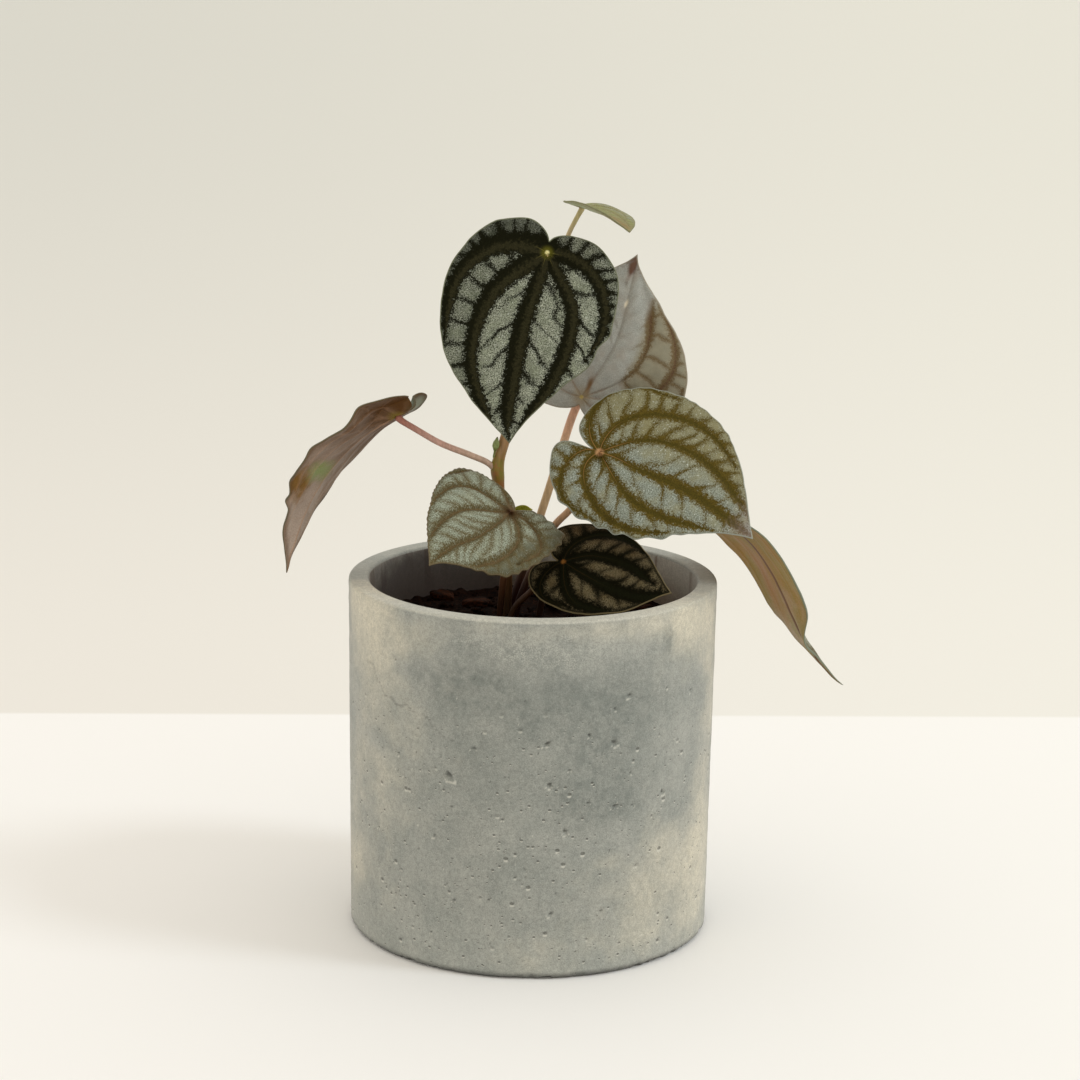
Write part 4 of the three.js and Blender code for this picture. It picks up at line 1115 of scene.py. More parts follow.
# %% Each leaf's measures
# base and tip are the blade's ends, face is the way its upper face looks, and notch is how far the
# notch lies behind the base. Other points are (x, y) from the base: across, and towards the tip.
# left and right are the sides of the upper face, seen with the tip up. wide is the widest point,
# lobe is the bottom of the lobe, and tip is the angle and the length of the tip's curve.
# bends are what bend_height takes, and deep is the depth of the upper face's relief. slot is the
# colour slot, and silver_leaf where none is named.
# A vein is (side, angle at the stalk, widest point, end, half width from base to end, ribs), and its
# ribs are (spacing, slant, crossing) of the side veins that leave it outwards. midrib, mid_half and
# mid_ribs say the same of the midrib, and core_shift moves the veins' cores to one side, which paints
# each sunken vein with a shaded dark side and a lit brown side.
# rib_half is the ribs' half width, thick its factor in each panel, flare how much wider they start
# and rib_sunk what the panels take off it. tones is each panel's brightness. Left of faint's first x
# the veins are as faint as its last number, and right of its second x they are plain.
# waves are (side, from, to, spacing, depth, rise) and bumps (side, at, width, height, rise), placed
# by shares of the way from tip to notch, and wander is how far the margin strays.
LEAVES = {
    "top": {
        "base": (2.7, -3, 204.4), "tip": (-7.5, -10, 149.1), "face": (0.02, -1, 0.25), "notch": 3.4,
        "left": {"wide": (23, 10.1), "lobe": (7.4, 6.3), "tip": (22, 0.5)},
        "right": {"wide": (27.8, 17), "lobe": (8, 8.6), "tip": (50, 0.42)},
        "bends": {"arch": 0.04, "cup": 0.25}, "slot": "dark_leaf", "rib_half": 0.36,
        "midrib": [(0, 0), (1.5, 11.3), (2.8, 20), (2.8, 39), (1.9, 50.6), (0, 56.6)],
        "mid_half": (2.2, 2.8, 2.0), "mid_ribs": (8.5, 1.2, 0.45), "core_shift": 0.3, "flare": 1.5,
        "veins": [
            (1, 53, (16.4, 29.5), (4.3, 55), (3.3, 2.1, 1.5), (5.2, 0.2, 1.4)),
            (1, 112, (25.4, 18.6), (24.2, 31), (3.8, 2.3, 1.3), (3.6, 0.3, 1.2)),
            (-1, 31, (11.1, 20.4), (0.6, 55.5), (1.9, 2.4, 1.5), (7.5, 0.6, 0.8)),
            (-1, 95, (20.1, 17.5), (16.6, 29), (2.3, 1.9, 1.1), (3.4, 0.4, 1.2)),
        ],
        "thick": (0.35, 0.55, 0.9, 0.5, 0.8),
        "bumps": [(-1, 0.44, 0.035, -1.0, 0.6), (-1, 0.5, 0.03, 0.6, -0.4), (-1, 0.27, 0.05, -0.5, 0.0)],
        "tones": (1.0, 0.74, 0.35, 1.0, 0.72),
    },
    "right": {
        "base": (18.9, -12, 147.3), "tip": (63.6, -24, 124.8), "face": (0, -1, 0.45), "notch": 2.6,
        "left": {"wide": (27.3, 14.5), "lobe": (7.7, 10.2), "tip": (49, 0.4)},
        "right": {"wide": (19.7, 6.6), "lobe": (6, 11.9), "tip": (16, 0.5)},
        "bends": {"arch": 0.06, "cup": 0.3}, "deep": 0.5, "rib_half": 0.12, "rib_sunk": 0.12,
        "midrib": [(0, 0), (-0.8, 4.5), (-0.8, 12), (-2.1, 24.9), (-2.2, 33), (-1.1, 43), (0, 51.5)],
        "mid_half": (0.3, 1.6, 1.4), "mid_ribs": (7.5, 1.1, 0.2), "flare": 4.0,
        "veins": [
            (-1, 53, (12.8, 23.9), (5, 47.3), (0.4, 1.1, 1.5), (4.2, 0.7, 0.5)),
            (-1, 108, (21.3, 20.9), (15.5, 37), (0.8, 1.1, 0.6), (4.4, 0.5, 0.7)),
            (-1, 160, (24.9, 4.8), (26.0, 12), (1.1, 0.7, 0.4), (4.5, 0.3, 0.8)),
            (1, 30, (8.4, 20), (4.2, 40), (0.5, 1.3, 0.8), (4.8, 0.8, 0.25)),
            (1, 132, (16.2, 14.8), (11.6, 29), (0.9, 1.1, 0.6), (4.2, 0.4, 0.4)),
            (1, 183, (18.0, 1.7), (18.4, 9), (0.5, 0.7, 0.4), (3.2, 0.2, 0.9)),
        ],
        "thick": (0.8, 1.0, 1.5, 1.2, 1.0, 1.2, 1.2),
        "waves": [(1, 0.25, 0.7, 6.4, 0.45, 0.5), (-1, 0.3, 0.8, 4.5, 0.08, 0.15)],
        "bumps": [(1, 0.9, 0.05, 1.5, 0.5)],
    },
    "front": {
        "base": (-7, -12, 128.9), "tip": (-30, -30, 116.8), "face": (-0.25, -1, 0.5), "notch": 2,
        "left": {"wide": (17.8, 10.1), "lobe": (12.2, 11.3), "tip": (23, 0.4)},
        "right": {"wide": (22.4, 1.6), "lobe": (8.7, 5.3), "tip": (45, 0.15)},
        "bends": {"arch": 0.08, "cup": 0.2}, "deep": 1.1, "rib_half": 0.12, "flare": 2.0, "rib_sunk": 0.5,
        "midrib": [(0, 0), (-1.4, 6.7), (-1.6, 15.8), (-0.1, 21.6), (0.3, 24.8), (0, 31.4)],
        "mid_half": (0.5, 0.8), "mid_ribs": (3.6, 1.1, 0.4),
        "veins": [
            (1, 30, (8.8, 16.9), (6.2, 27), (0.5, 0.7), (3.8, 0.9, 0.3)),
            (1, 81, (17.1, 10.2), (14.6, 20), (0.5, 0.6), (3.2, 0.4, 0.5)),
            (1, 134, (20.3, -0.6), (21.8, 6), (0.6, 0.5), (2.6, 0.3, 0.6)),
            (-1, 83, (11.3, 13), (7.6, 24), (0.6, 0.8), (3.4, 0.5, 0.5)),
            (-1, 139, (15.4, 3.4), (15.2, 11), (0.6, 0.7), (2.6, 0.2, 0.6)),
        ],
        "waves": [(1, 0.1, 0.8, 1.9, 0.12, 0.14), (-1, 0.2, 0.9, 4.2, 0.3, 0.3)],
    },
    "low": {
        "base": (9, -6, 112.8), "tip": (41, -14, 105.8), "face": (0, -1, 0.9), "notch": 2,
        "left": {"wide": (15.5, 7.2), "lobe": (9, 6.5), "tip": (37, 0.4)},
        "right": {"wide": (15.3, 6.8), "lobe": (5.7, 8.9), "tip": (39, 0.3)},
        "bends": {"arch": 0.05, "cup": 0.2}, "slot": "dark_leaf", "deep": 0.5, "rib_half": 0.24,
        "midrib": [(0, 0), (2.7, 7.4), (4.6, 14.4), (5.2, 21.6), (4.1, 27.6), (1.8, 31.7), (0, 33.7)],
        "mid_half": (1.0, 2.0, 1.8), "mid_ribs": (5.5, 0.9, 0.3), "rib_sunk": 0.35,
        "veins": [
            (1, 73, (12.6, 11.5), (11.6, 19), (1.3, 1.5, 1.1), (4.0, 0.4, 0.5)),
            (1, 150, (13.6, 2.2), (14.2, 7), (0.9, 0.8), (3.2, 0.3, 0.8)),
            (-1, 40, (4.5, 13.5), (0.5, 28.3), (1.2, 1.7, 1.3), (4.4, 0.7, 0.5)),
            (-1, 100, (12.9, 13.2), (7.6, 27), (0.9, 1.1, 0.9), (3.2, 0.4, 0.7)),
        ],
    },
    "back": {
        "base": (13.8, 14, 158.9), "tip": (29.7, 20, 201.4), "face": (-0.35, -1, 0.1), "notch": 2.4,
        "left": {"wide": (23.2, 15), "lobe": (12, 6), "tip": (29, 0.4)},
        "right": {"wide": (29.1, 9.2), "lobe": (15, 7), "tip": (21, 0.3)},
        "bends": {"arch": 0.03, "cup": 0.2}, "rib_half": 0.16,
        "midrib": [(0, 0), (1.8, 6.9), (3.8, 18.6), (3.5, 25.8), (2.2, 34.5), (1.2, 40.4), (0, 45.8)],
        "mid_half": (0.5, 0.3), "mid_ribs": (6, 1.2, 0.1), "faint": (8.6, 11.4, 0.1), "rib_sunk": 0.25,
        "thick": (1.0, 0.5, 0.6, 0.8, 1.0, 1.0),
        "veins": [
            (1, 52, (13.4, 19.5), (3.6, 41), (0.1, 0.1, 0.25, 1.3, 1.3), (5.0, 0.1, 1.4)),
            (1, 75, (23.0, 17.3), (12.0, 35), (0.5, 0.8, 0.3), (3.2, 0.2, 0.8)),
            (1, 120, (27.6, 6.0), (27.6, 13), (0.5, 0.5), (3.2, 0.3, 0.5)),
            (-1, 55, (11.5, 20), (4, 39), (0.3, 0.3), (4.2, 0.5, 0.3)),
            (-1, 100, (19.4, 15), (14, 30), (0.3, 0.3), (3.2, 0.4, 0.3)),
        ],
    },
    "left": {
        "base": (-41.1, 0, 155), "tip": (-73.5, -2.4, 107.2), "face": (-0.793, 0.313, 0.523), "notch": 2.4,
        "left": {"wide": (21.3, 16), "lobe": (8, 8), "tip": (17, 0.5)},
        "right": {"wide": (18, 16), "lobe": (8, 9.4), "tip": (17, 0.5)},
        "bends": {
            "arch": 0.132, "hook": 0.03, "cup": -0.1, "fold": 0.05, "twist": -0.16, "curl": 8.0, "tuck": 3.8,
        },
        "rib_half": 0.12,
        "bumps": [
            (-1, 0.27, 0.02, 0.3, 1.2), (-1, 0.36, 0.03, 0.2, 0.6), (-1, 0.50, 0.028, 0.4, 0.7),
            (-1, 0.70, 0.03, 0.5, 0.5), (1, 0.4, 0.05, 0.6, 0.3), (1, 0.6, 0.04, -0.5, 0.2),
            (-1, 0.13, 0.07, 0.5, 1.7),
        ],
    },
    "drooping": {
        "base": (51.4, 9, 124.4), "tip": (94.3, 1.3, 74.2), "face": (0.74, 0.34, 0.58), "notch": 2.4,
        "left": {"wide": (19.8, 18), "lobe": (9, 8), "tip": (4, 0.55)},
        "right": {"wide": (18.6, 18), "lobe": (9, 8), "tip": (4, 0.55)},
        "bends": {"arch": 0.055, "hook": 0.52, "cup": 0.14, "twist": 0.1}, "rib_half": 0.12, "deep": 0.08,
        "waves": [(-1, 0.3, 0.8, 9, 0.05, 0.05)],
        "bumps": [(1, 0.2, 0.06, -0.5, -2.2), (1, 0.3, 0.05, 0.3, 0.8)],
    },
    "crown": {
        "base": (13, 10, 216.4), "tip": (26.4, -10.6, 211.7), "face": (0.287, -0.033, 0.957), "notch": 1,
        "left": {"wide": (8.8, 6), "lobe": (3.4, 4), "tip": (50, 0.4)},
        "right": {"wide": (7.3, 6), "lobe": (3.4, 4), "tip": (50, 0.4)},
        "bends": {"arch": 0.04, "hook": -0.05, "fold": 0.25, "twist": 0.23}, "rib_half": 0.1,
    },
    "young": {
        "base": (-7.2, 3.6, 124.1), "tip": (-0.4, -0.4, 127.4), "face": (-0.2, -0.5, 0.85), "notch": 0.5,
        "left": {"wide": (3.0, 2.9), "lobe": (1.2, 1.2), "tip": (40, 0.4)},
        "right": {"wide": (2.8, 2.9), "lobe": (1.2, 1.2), "tip": (40, 0.4)},
        "bends": {"fold": 0.4}, "slot": "bud", "wander": 0.15, "rib_half": 0.05,
    },
}
BLADE_THICKNESS = 0.7
SIDE_POINTS = 150
# Each ring's share of the way from the stalk's point to the margin, closest together at the margin.
SHARES = np.concatenate([np.linspace(0.012, 0.975, 96), [0.985, 0.992, 0.997]])
ROUND = 0.55  # where a cubic curve's handles go to follow a quarter of an ellipse
LUCK_VALUES = 997


# %% The outline
def side_line(side, length, notch):
    """From tip to notch on the positive side: three cubic curves joined, as even points."""
    w, yw = side["wide"]
    xl, yl = side["lobe"]
    angle = math.radians(side["tip"][0])
    reach = side["tip"][1] * (length - yw)
    tip = (0, length)
    from_tip = (reach * math.sin(angle), length - reach * math.cos(angle))
    to_wide = cubic(tip, from_tip, (w, yw + ROUND * (length - yw)), (w, yw), 60)
    to_lobe = cubic((w, yw), (w, yw - ROUND * (yw + yl)), (xl + ROUND * (w - xl), -yl), (xl, -yl), 60)
    into_notch = (0.12 * xl, -notch - 0.6 * (yl - notch))
    to_notch = cubic((xl, -yl), (xl - ROUND * xl, -yl), into_notch, (0, -notch), 60)
    return evenly(np.concatenate([to_wide, to_lobe[1:], to_notch[1:]]), SIDE_POINTS)


def waved(line, leaf, sign):
    """The side with its natural edge: it wanders by smooth noise, runs in waves of depth sin(phase)
    with phase = 2 pi s / spacing + 0.9 sin(1.7 s / spacing + 1.3) between two shares of the way, and
    has single bumps of height exp(-((share - at) / width)^2). Returns the line and how far the margin
    leaves its plane."""
    run = arc_lengths(line)
    share = run / run[-1]
    along = np.gradient(line, axis=0)
    normal = np.column_stack([-along[:, 1], along[:, 0]])
    normal = normal / np.linalg.norm(normal, axis=1, keepdims=True)
    ends = soft_step(share, 0, 0.06) * (1 - soft_step(share, 0.9, 1))
    at = np.column_stack([run, np.full(len(run), 9.0 * sign)])
    wander = leaf.get("wander", 0.25)
    out = wander * ends * (smooth_noise(at, 5.5, 3) + 0.4 * smooth_noise(at, 2.0, 4))
    lift = 1.2 * wander * ends * smooth_noise(at, 7.0, 5)
    for side, start, end, spacing, depth, rise in leaf.get("waves", []):
        if side == sign:
            phase = 2 * math.pi * run / spacing + 0.9 * np.sin(run / spacing * 1.7 + 1.3)
            window = soft_step(share, start - 0.08, start + 0.05)
            window = window * (1 - soft_step(share, end - 0.05, end + 0.08))
            out = out + depth * window * np.sin(phase)
            lift = lift + rise * window * np.sin(phase + 1.2)
    for side, place, width, height, rise in leaf.get("bumps", []):
        if side == sign:
            bell = np.exp(-(((share - place) / width) ** 2))
            out = out + height * bell
            lift = lift + rise * bell
    return line + normal * out[:, None], lift


def whole_outline(leaf, length):
    """Round the blade: from the tip down the right side to the notch and up the left side."""
    right, right_lift = waved(side_line(leaf["right"], length, leaf["notch"]), leaf, 1)
    left, left_lift = waved(side_line(leaf["left"], length, leaf["notch"]), leaf, -1)
    left = left[::-1] * [-1, 1]
    lift = np.concatenate([right_lift, left_lift[::-1][1:-1]])
    return np.concatenate([right, left[1:-1]]), lift


# %% [markdown]
# The main veins all start at the stalk, run out to their widest point and bend back towards the
# tip or the margin. The side veins are like the rungs of a ladder: they leave each main vein on
# its outer side and slant towards the tip. Instead of drawing them one by one, every point of the
# blade gets a rung number that grows along the main vein next to it. A rung lies wherever that number
# is halfway between two whole ones, so the finish can draw it finely and the surface can dip there.


# %% Main veins
def vein_line(angle, wide, end):
    """Two cubic curves on the positive side: out from the stalk at an angle from the midrib to the
    widest point, then on to the end. A vein that starts backwards swings wider round its lobe."""
    turn = math.radians(angle)
    out = math.hypot(*wide)
    swing = (0.55, 0.6) if angle > 145 else (0.45, 0.4)
    leave = (swing[0] * out * math.sin(turn), swing[0] * out * math.cos(turn))
    first = cubic((0, 0), leave, (wide[0], wide[1] - swing[1] * out), wide)
    rise = end[1] - wide[1]
    bend = (end[0] + 0.35 * (wide[0] - end[0]), end[1] - 0.27 * rise)
    second = cubic(wide, (wide[0], wide[1] + 0.45 * rise), bend, end)
    return evenly(np.concatenate([first, second[1:]]), 48)


def usual_veins(leaf, length):
    """Two veins on each side where a leaf has none of its own: at half and at four fifths of its
    half width, and ending near the tip and at the margin."""
    veins = []
    for sign, side in ((1, leaf["right"]), (-1, leaf["left"])):
        w, yw = side["wide"]
        inner_wide = (0.45 * w, yw + 0.12 * length)
        inner_end = (0.06 * length, 0.92 * length)
        inner_half = (0.014 * length, 0.01 * length)
        outer_wide = (0.8 * w, yw + 0.04 * length)
        outer_end = (0.55 * w, yw + 0.5 * (length - yw))
        outer_half = (0.012 * length, 0.01 * length)
        veins.append((sign, 45, inner_wide, inner_end, inner_half, (0.11 * length, 0.9, 0.8)))
        veins.append((sign, 105, outer_wide, outer_end, outer_half, (0.09 * length, 0.6, 0.6)))
    return veins


def beside_vein(flat, route, half, length):
    """For each point: the signed distance to a vein, the distance along it, the vein's length, and
    its half width there, which goes through the values of half and runs out to nothing at the end."""
    signed, along = beside(flat, route)
    total = arc_lengths(route)[-1]
    width = np.interp(along / total, np.linspace(0, 1, len(half)), half)
    return signed, along, total, width * soft_step(total - along, -0.02 * length, 0.2 * length)


def vein_values(leaf, length, flat, margin_gap):
    """What the surface and the finish need to know about veins at each point of the blade.
    clear: mm beyond the edge of the nearest main vein. line: signed mm from its middle.
    core: line over its half width. rung: the ladder number. pitch: mm from rung to rung.
    rib: the half width that a rung has there, less towards the far side of its panel.
    tone: the panel's brightness. strength: how plainly the veins are drawn."""
    # The midrib first. Its two panels reach out to the margin until a further vein cuts them off.
    midrib = curve_through(leaf.get("midrib", [(0, 0), (0, 0.5 * length), (0, length)]), 60)
    half = leaf.get("mid_half", (0.02 * length, 0.012 * length))
    ribs = leaf.get("mid_ribs", (0.12 * length, 1.0, 0.8))
    signed, inner_along, _, width = beside_vein(flat, midrib, half, length)
    clear = np.abs(signed) - width
    # Moving the cores to one side paints shade on one side of each sunken vein and light on the other.
    shift = leaf.get("core_shift", 0.0)
    core = np.abs(signed + shift * width) / np.maximum(width, 0.2)
    inner_edge = clear.copy()
    line = signed.copy()
    side_sign = np.where(signed >= 0, 1, -1)
    inner_gap = np.abs(signed)
    outer_gap = margin_gap.copy()
    panel = np.zeros(flat.shape[:-1], int)
    rib_table = [ribs]
    innermost = {1: np.ones(panel.shape, bool), -1: np.ones(panel.shape, bool)}
    # The other veins from the midrib outwards. Each takes the points outside it as a new panel.
    veins = leaf.get("veins") or usual_veins(leaf, length)
    for number, (sign, angle, wide, end, half, ribs) in enumerate(veins, 1):
        route = vein_line(angle, wide, end) * [sign, 1]
        signed, along, total, width = beside_vein(flat, route, half, length)
        away = np.abs(signed)
        nearer = away - width < clear
        clear = np.where(nearer, away - width, clear)
        core = np.where(nearer, np.abs(signed + shift * width) / np.maximum(width, 0.2), core)
        line = np.where(nearer, signed, line)
        outside = (side_sign == sign) & (signed * sign > 0) & (along < total - 0.05) & innermost[sign]
        inside = (side_sign == sign) & ~outside & innermost[sign]
        outer_gap = np.where(inside, np.minimum(outer_gap, away), outer_gap)
        outer_gap = np.where(outside, margin_gap, outer_gap)
        inner_gap = np.where(outside, away, inner_gap)
        inner_edge = np.where(outside, away - width, inner_edge)
        inner_along = np.where(outside, along, inner_along)
        panel = np.where(outside, number, panel)
        innermost[sign] = outside
        rib_table.append(ribs)
    spacing, slant, crossing = (np.array(rib_table)[:, i][panel] for i in range(3))
    tone = np.array(leaf.get("tones", [1.0] * len(rib_table)))[panel]
    thick = np.array(leaf.get("thick", [1.0] * len(rib_table)))[panel]
    # The rungs slant towards the tip, wander by noise and don't meet across a vein.
    at = np.dstack([flat, panel * 31.0])
    drift = 0.34 * smooth_noise(at, 6.5, 201) + 0.08 * smooth_noise(at, 1.9, 202)
    bent = slant * inner_gap - 0.02 * inner_gap**2
    rung = (inner_along - bent) / spacing + drift + 0.37 * panel + 0.2 * side_sign
    reach = inner_gap / (inner_gap + outer_gap + 0.05)
    # Each rung's own luck sets how wide it is and how far across its panel it reaches.
    chance = np.random.default_rng(77).uniform(0, 1, LUCK_VALUES)
    luck = chance[(np.floor(rung).astype(int) * 13 + panel * 101 + 300) % LUCK_VALUES]
    fade = soft_step(reach, crossing + 0.5 * luck + 0.1, crossing + 0.5 * luck - 0.45)
    flare = 1 + leaf.get("flare", 1.2) * np.exp(-np.maximum(inner_edge, 0) / 0.9)
    width = leaf.get("rib_half", 0.3) * thick * (0.4 + 1.1 * luck) * (1.15 - 0.5 * reach) * flare
    rib = width * fade - 0.35 * (1 - fade) - leaf.get("rib_sunk", 0.0)
    faint_from, faint_to, least = leaf.get("faint", (-99, -98, 1.0))
    strength = least + (1 - least) * soft_step(flat[..., 0], faint_from, faint_to)
    return {
        "clear": clear, "core": core, "line": line, "rung": rung, "rib": rib,
        "pitch": spacing / np.sqrt(1 + slant**2), "tone": tone, "strength": strength,
    }


# %% The blade's surface
def blade_axes(leaf):
    """The blade's own directions: along from base to tip, up out of the upper face, and across."""
    base = np.array(leaf["base"], float)
    along = np.array(leaf["tip"], float) - base
    length = float(np.linalg.norm(along))
    along = along / length
    up = np.array(leaf["face"], float)
    up = up - (up @ along) * along
    up = up / np.linalg.norm(up)
    return base, np.cross(along, up), along, up, length


def bend_height(x, y, length, arch=0.0, hook=0.0, cup=0.0, fold=0.0, twist=0.0, curl=0.0, tuck=0.0):
    """How far the bent blade stands out of its plane at (x, y), with t = y / length: the midrib's
    length t (1 - t) (4 arch + hook (1 - 2t)), the sunk margins cup x^2 / length, the rise of both
    halves fold (hypot(x, 2) - 2), the twist x (t - 0.3), and how far each lobe turns up: by curl on
    the positive side and by tuck on the other."""
    t = y / length
    rise = np.hypot(x, 2) - 2
    midrib = length * t * (1 - t) * (4 * arch + hook * (1 - 2 * t))
    near_lobe = 1 - soft_step(t, -0.2, -0.03)
    curled = curl * near_lobe * np.minimum(rise / 1.5, 1) * (1 - 0.055 * x) * (x > 0)
    far_lobe = 1 - soft_step(t, -0.02, 0.18)
    curled = curled + tuck * far_lobe * np.minimum(rise / 2.5, 1) * (x < 0)
    return midrib - cup * x * x / length + fold * rise + twist * x * (t - 0.3) + curled


def relief_height(values, hub, gap, deep):
    """The upper face's relief: main veins and rungs pressed in and panels swollen between them as
    1 - exp(-distance / 1.3), all of it flat at the margin and at the stalk."""
    groove = np.exp(-((values["core"] / 1.1) ** 2))
    off_rung = np.abs((values["rung"] % 1) - 0.5) * values["pitch"]
    distance = np.minimum(np.maximum(values["clear"], 0), off_rung - np.minimum(values["rib"], 0) * 4)
    swell = 1 - np.exp(-np.maximum(distance, 0) / 1.3)
    fade = soft_step(gap, 0.1, 2.0) * soft_step(hub, 1.0, 5)
    return deep * fade * (swell - 0.7 * groove)


def blade_rings(leaf):
    """Rings from the middle of the upper face to the margin and back under to the middle. Both faces
    lie half a thickness from the bent blade, and are rounded towards the margin like a quarter
    circle. Also returns what the finishes read, and which rings are upper (0) and under face (1)."""
    base, across, along, up, length = blade_axes(leaf)
    outline, ripple = whole_outline(leaf, length)
    deep = leaf.get("deep", 0.4)
    flat = SHARES[:, None, None] * outline[None]
    closed = np.concatenate([outline, outline[:1]])
    gap = np.abs(beside(flat, closed)[0])
    values = vein_values(leaf, length, flat, gap)
    hub = np.hypot(flat[..., 0], flat[..., 1])
    small = min(1.0, length / 40)
    bend = bend_height(flat[..., 0], flat[..., 1], length, **leaf["bends"])
    wave = ripple[None, :] * np.exp(-gap / 5)
    level = np.dstack([flat, np.zeros_like(gap)])
    swell = (0.12 * smooth_noise(level, 3.5, 7) + 0.35 * smooth_noise(level, 11, 8)) * small
    thick = BLADE_THICKNESS * (0.45 + 0.55 * small)
    rounded = np.sqrt(1 - (1 - np.minimum(gap / (0.6 * thick), 1)) ** 2)
    relief = relief_height(values, hub, gap, deep * small)
    middle = bend + wave + swell
    knob = 0.15 * small * np.exp(-((hub / (0.8 * small)) ** 2))
    upper = middle + relief + knob + 0.5 * thick * rounded
    lower = middle + 0.8 * relief - 0.5 * thick * rounded
    margin = outline[None]
    rim = (bend_height(margin[..., 0], margin[..., 1], length, **leaf["bends"]) + ripple)[..., None]

    def in_space(xy, height):
        """base + x across + y along + height up."""
        return base + xy[..., :1] * across + xy[..., 1:] * along + height * up

    rings = np.concatenate(
        [in_space(flat, upper[..., None]), in_space(margin, rim), in_space(flat, lower[..., None])[::-1]]
    )
    edge_row = {key: value[-1:] for key, value in values.items()}
    stacked = {
        key: np.concatenate([value, edge_row[key], value[::-1]]) for key, value in values.items()
    }
    stacked["gap"] = np.concatenate([gap, 0 * gap[-1:], gap[::-1]])
    stacked["hub"] = np.concatenate([hub, hub[-1:], hub[::-1]])
    tip_share = flat[..., 1] / length
    stacked["tipward"] = np.concatenate([tip_share, tip_share[-1:], tip_share[::-1]])
    under = level + [0, 0, 5]
    stacked["flat"] = np.concatenate([level, level[-1:], under[::-1]])
    bands = np.concatenate([np.zeros(len(SHARES) + 1, int), np.ones(len(SHARES), int)])
    return rings, stacked, bands


# %% [markdown]
# ## Leaf finishes
# The upper face has two kinds of tissue. The panels hold air under a clear skin and scatter light,
# which makes them silver and finely grained, and the tissue along the veins is deep green to brown.
# The edge between them is feathered. One recipe draws all leaves, and each leaf has its own
# palette: the youngest in full light are pale and brown-veined, and the shaded ones nearly black,
# partly by painted shade.


# %% The upper face
def patched(leaf, tone, flat, cloud, patches):
    """Lay soft oval patches over a colour: each is (x, y, half width, half height, colour), and its
    edge is where the distance, counted in halves and roughened by the cloud, falls from 2.1 to 1."""
    for x, y, wide, tall, patch_colour in patches:
        shift = (-x / wide, -y / tall, 0)
        squeeze = {"Vector": flat, "Location": shift, "Scale": (1 / wide, 1 / tall, 0)}
        away = leaf.add("VectorMath", {0: leaf.add("Mapping", squeeze)}, "Value", operation="LENGTH")
        inside = leaf.step(leaf.math("ADD", away, leaf.times(cloud, 1.6)), 2.1, 1.0)
        tone = leaf.mix(inside, tone, colour(*patch_colour))
    return tone


def beside_rung(leaf):
    """mm from the middle of the nearest rung: |fraction of the rung number - 0.5| times the pitch."""
    fraction = leaf.math("SUBTRACT", leaf.math("FRACT", leaf.value("rung")), 0.5)
    return leaf.times(leaf.math("ABSOLUTE", fraction), leaf.value("pitch"))


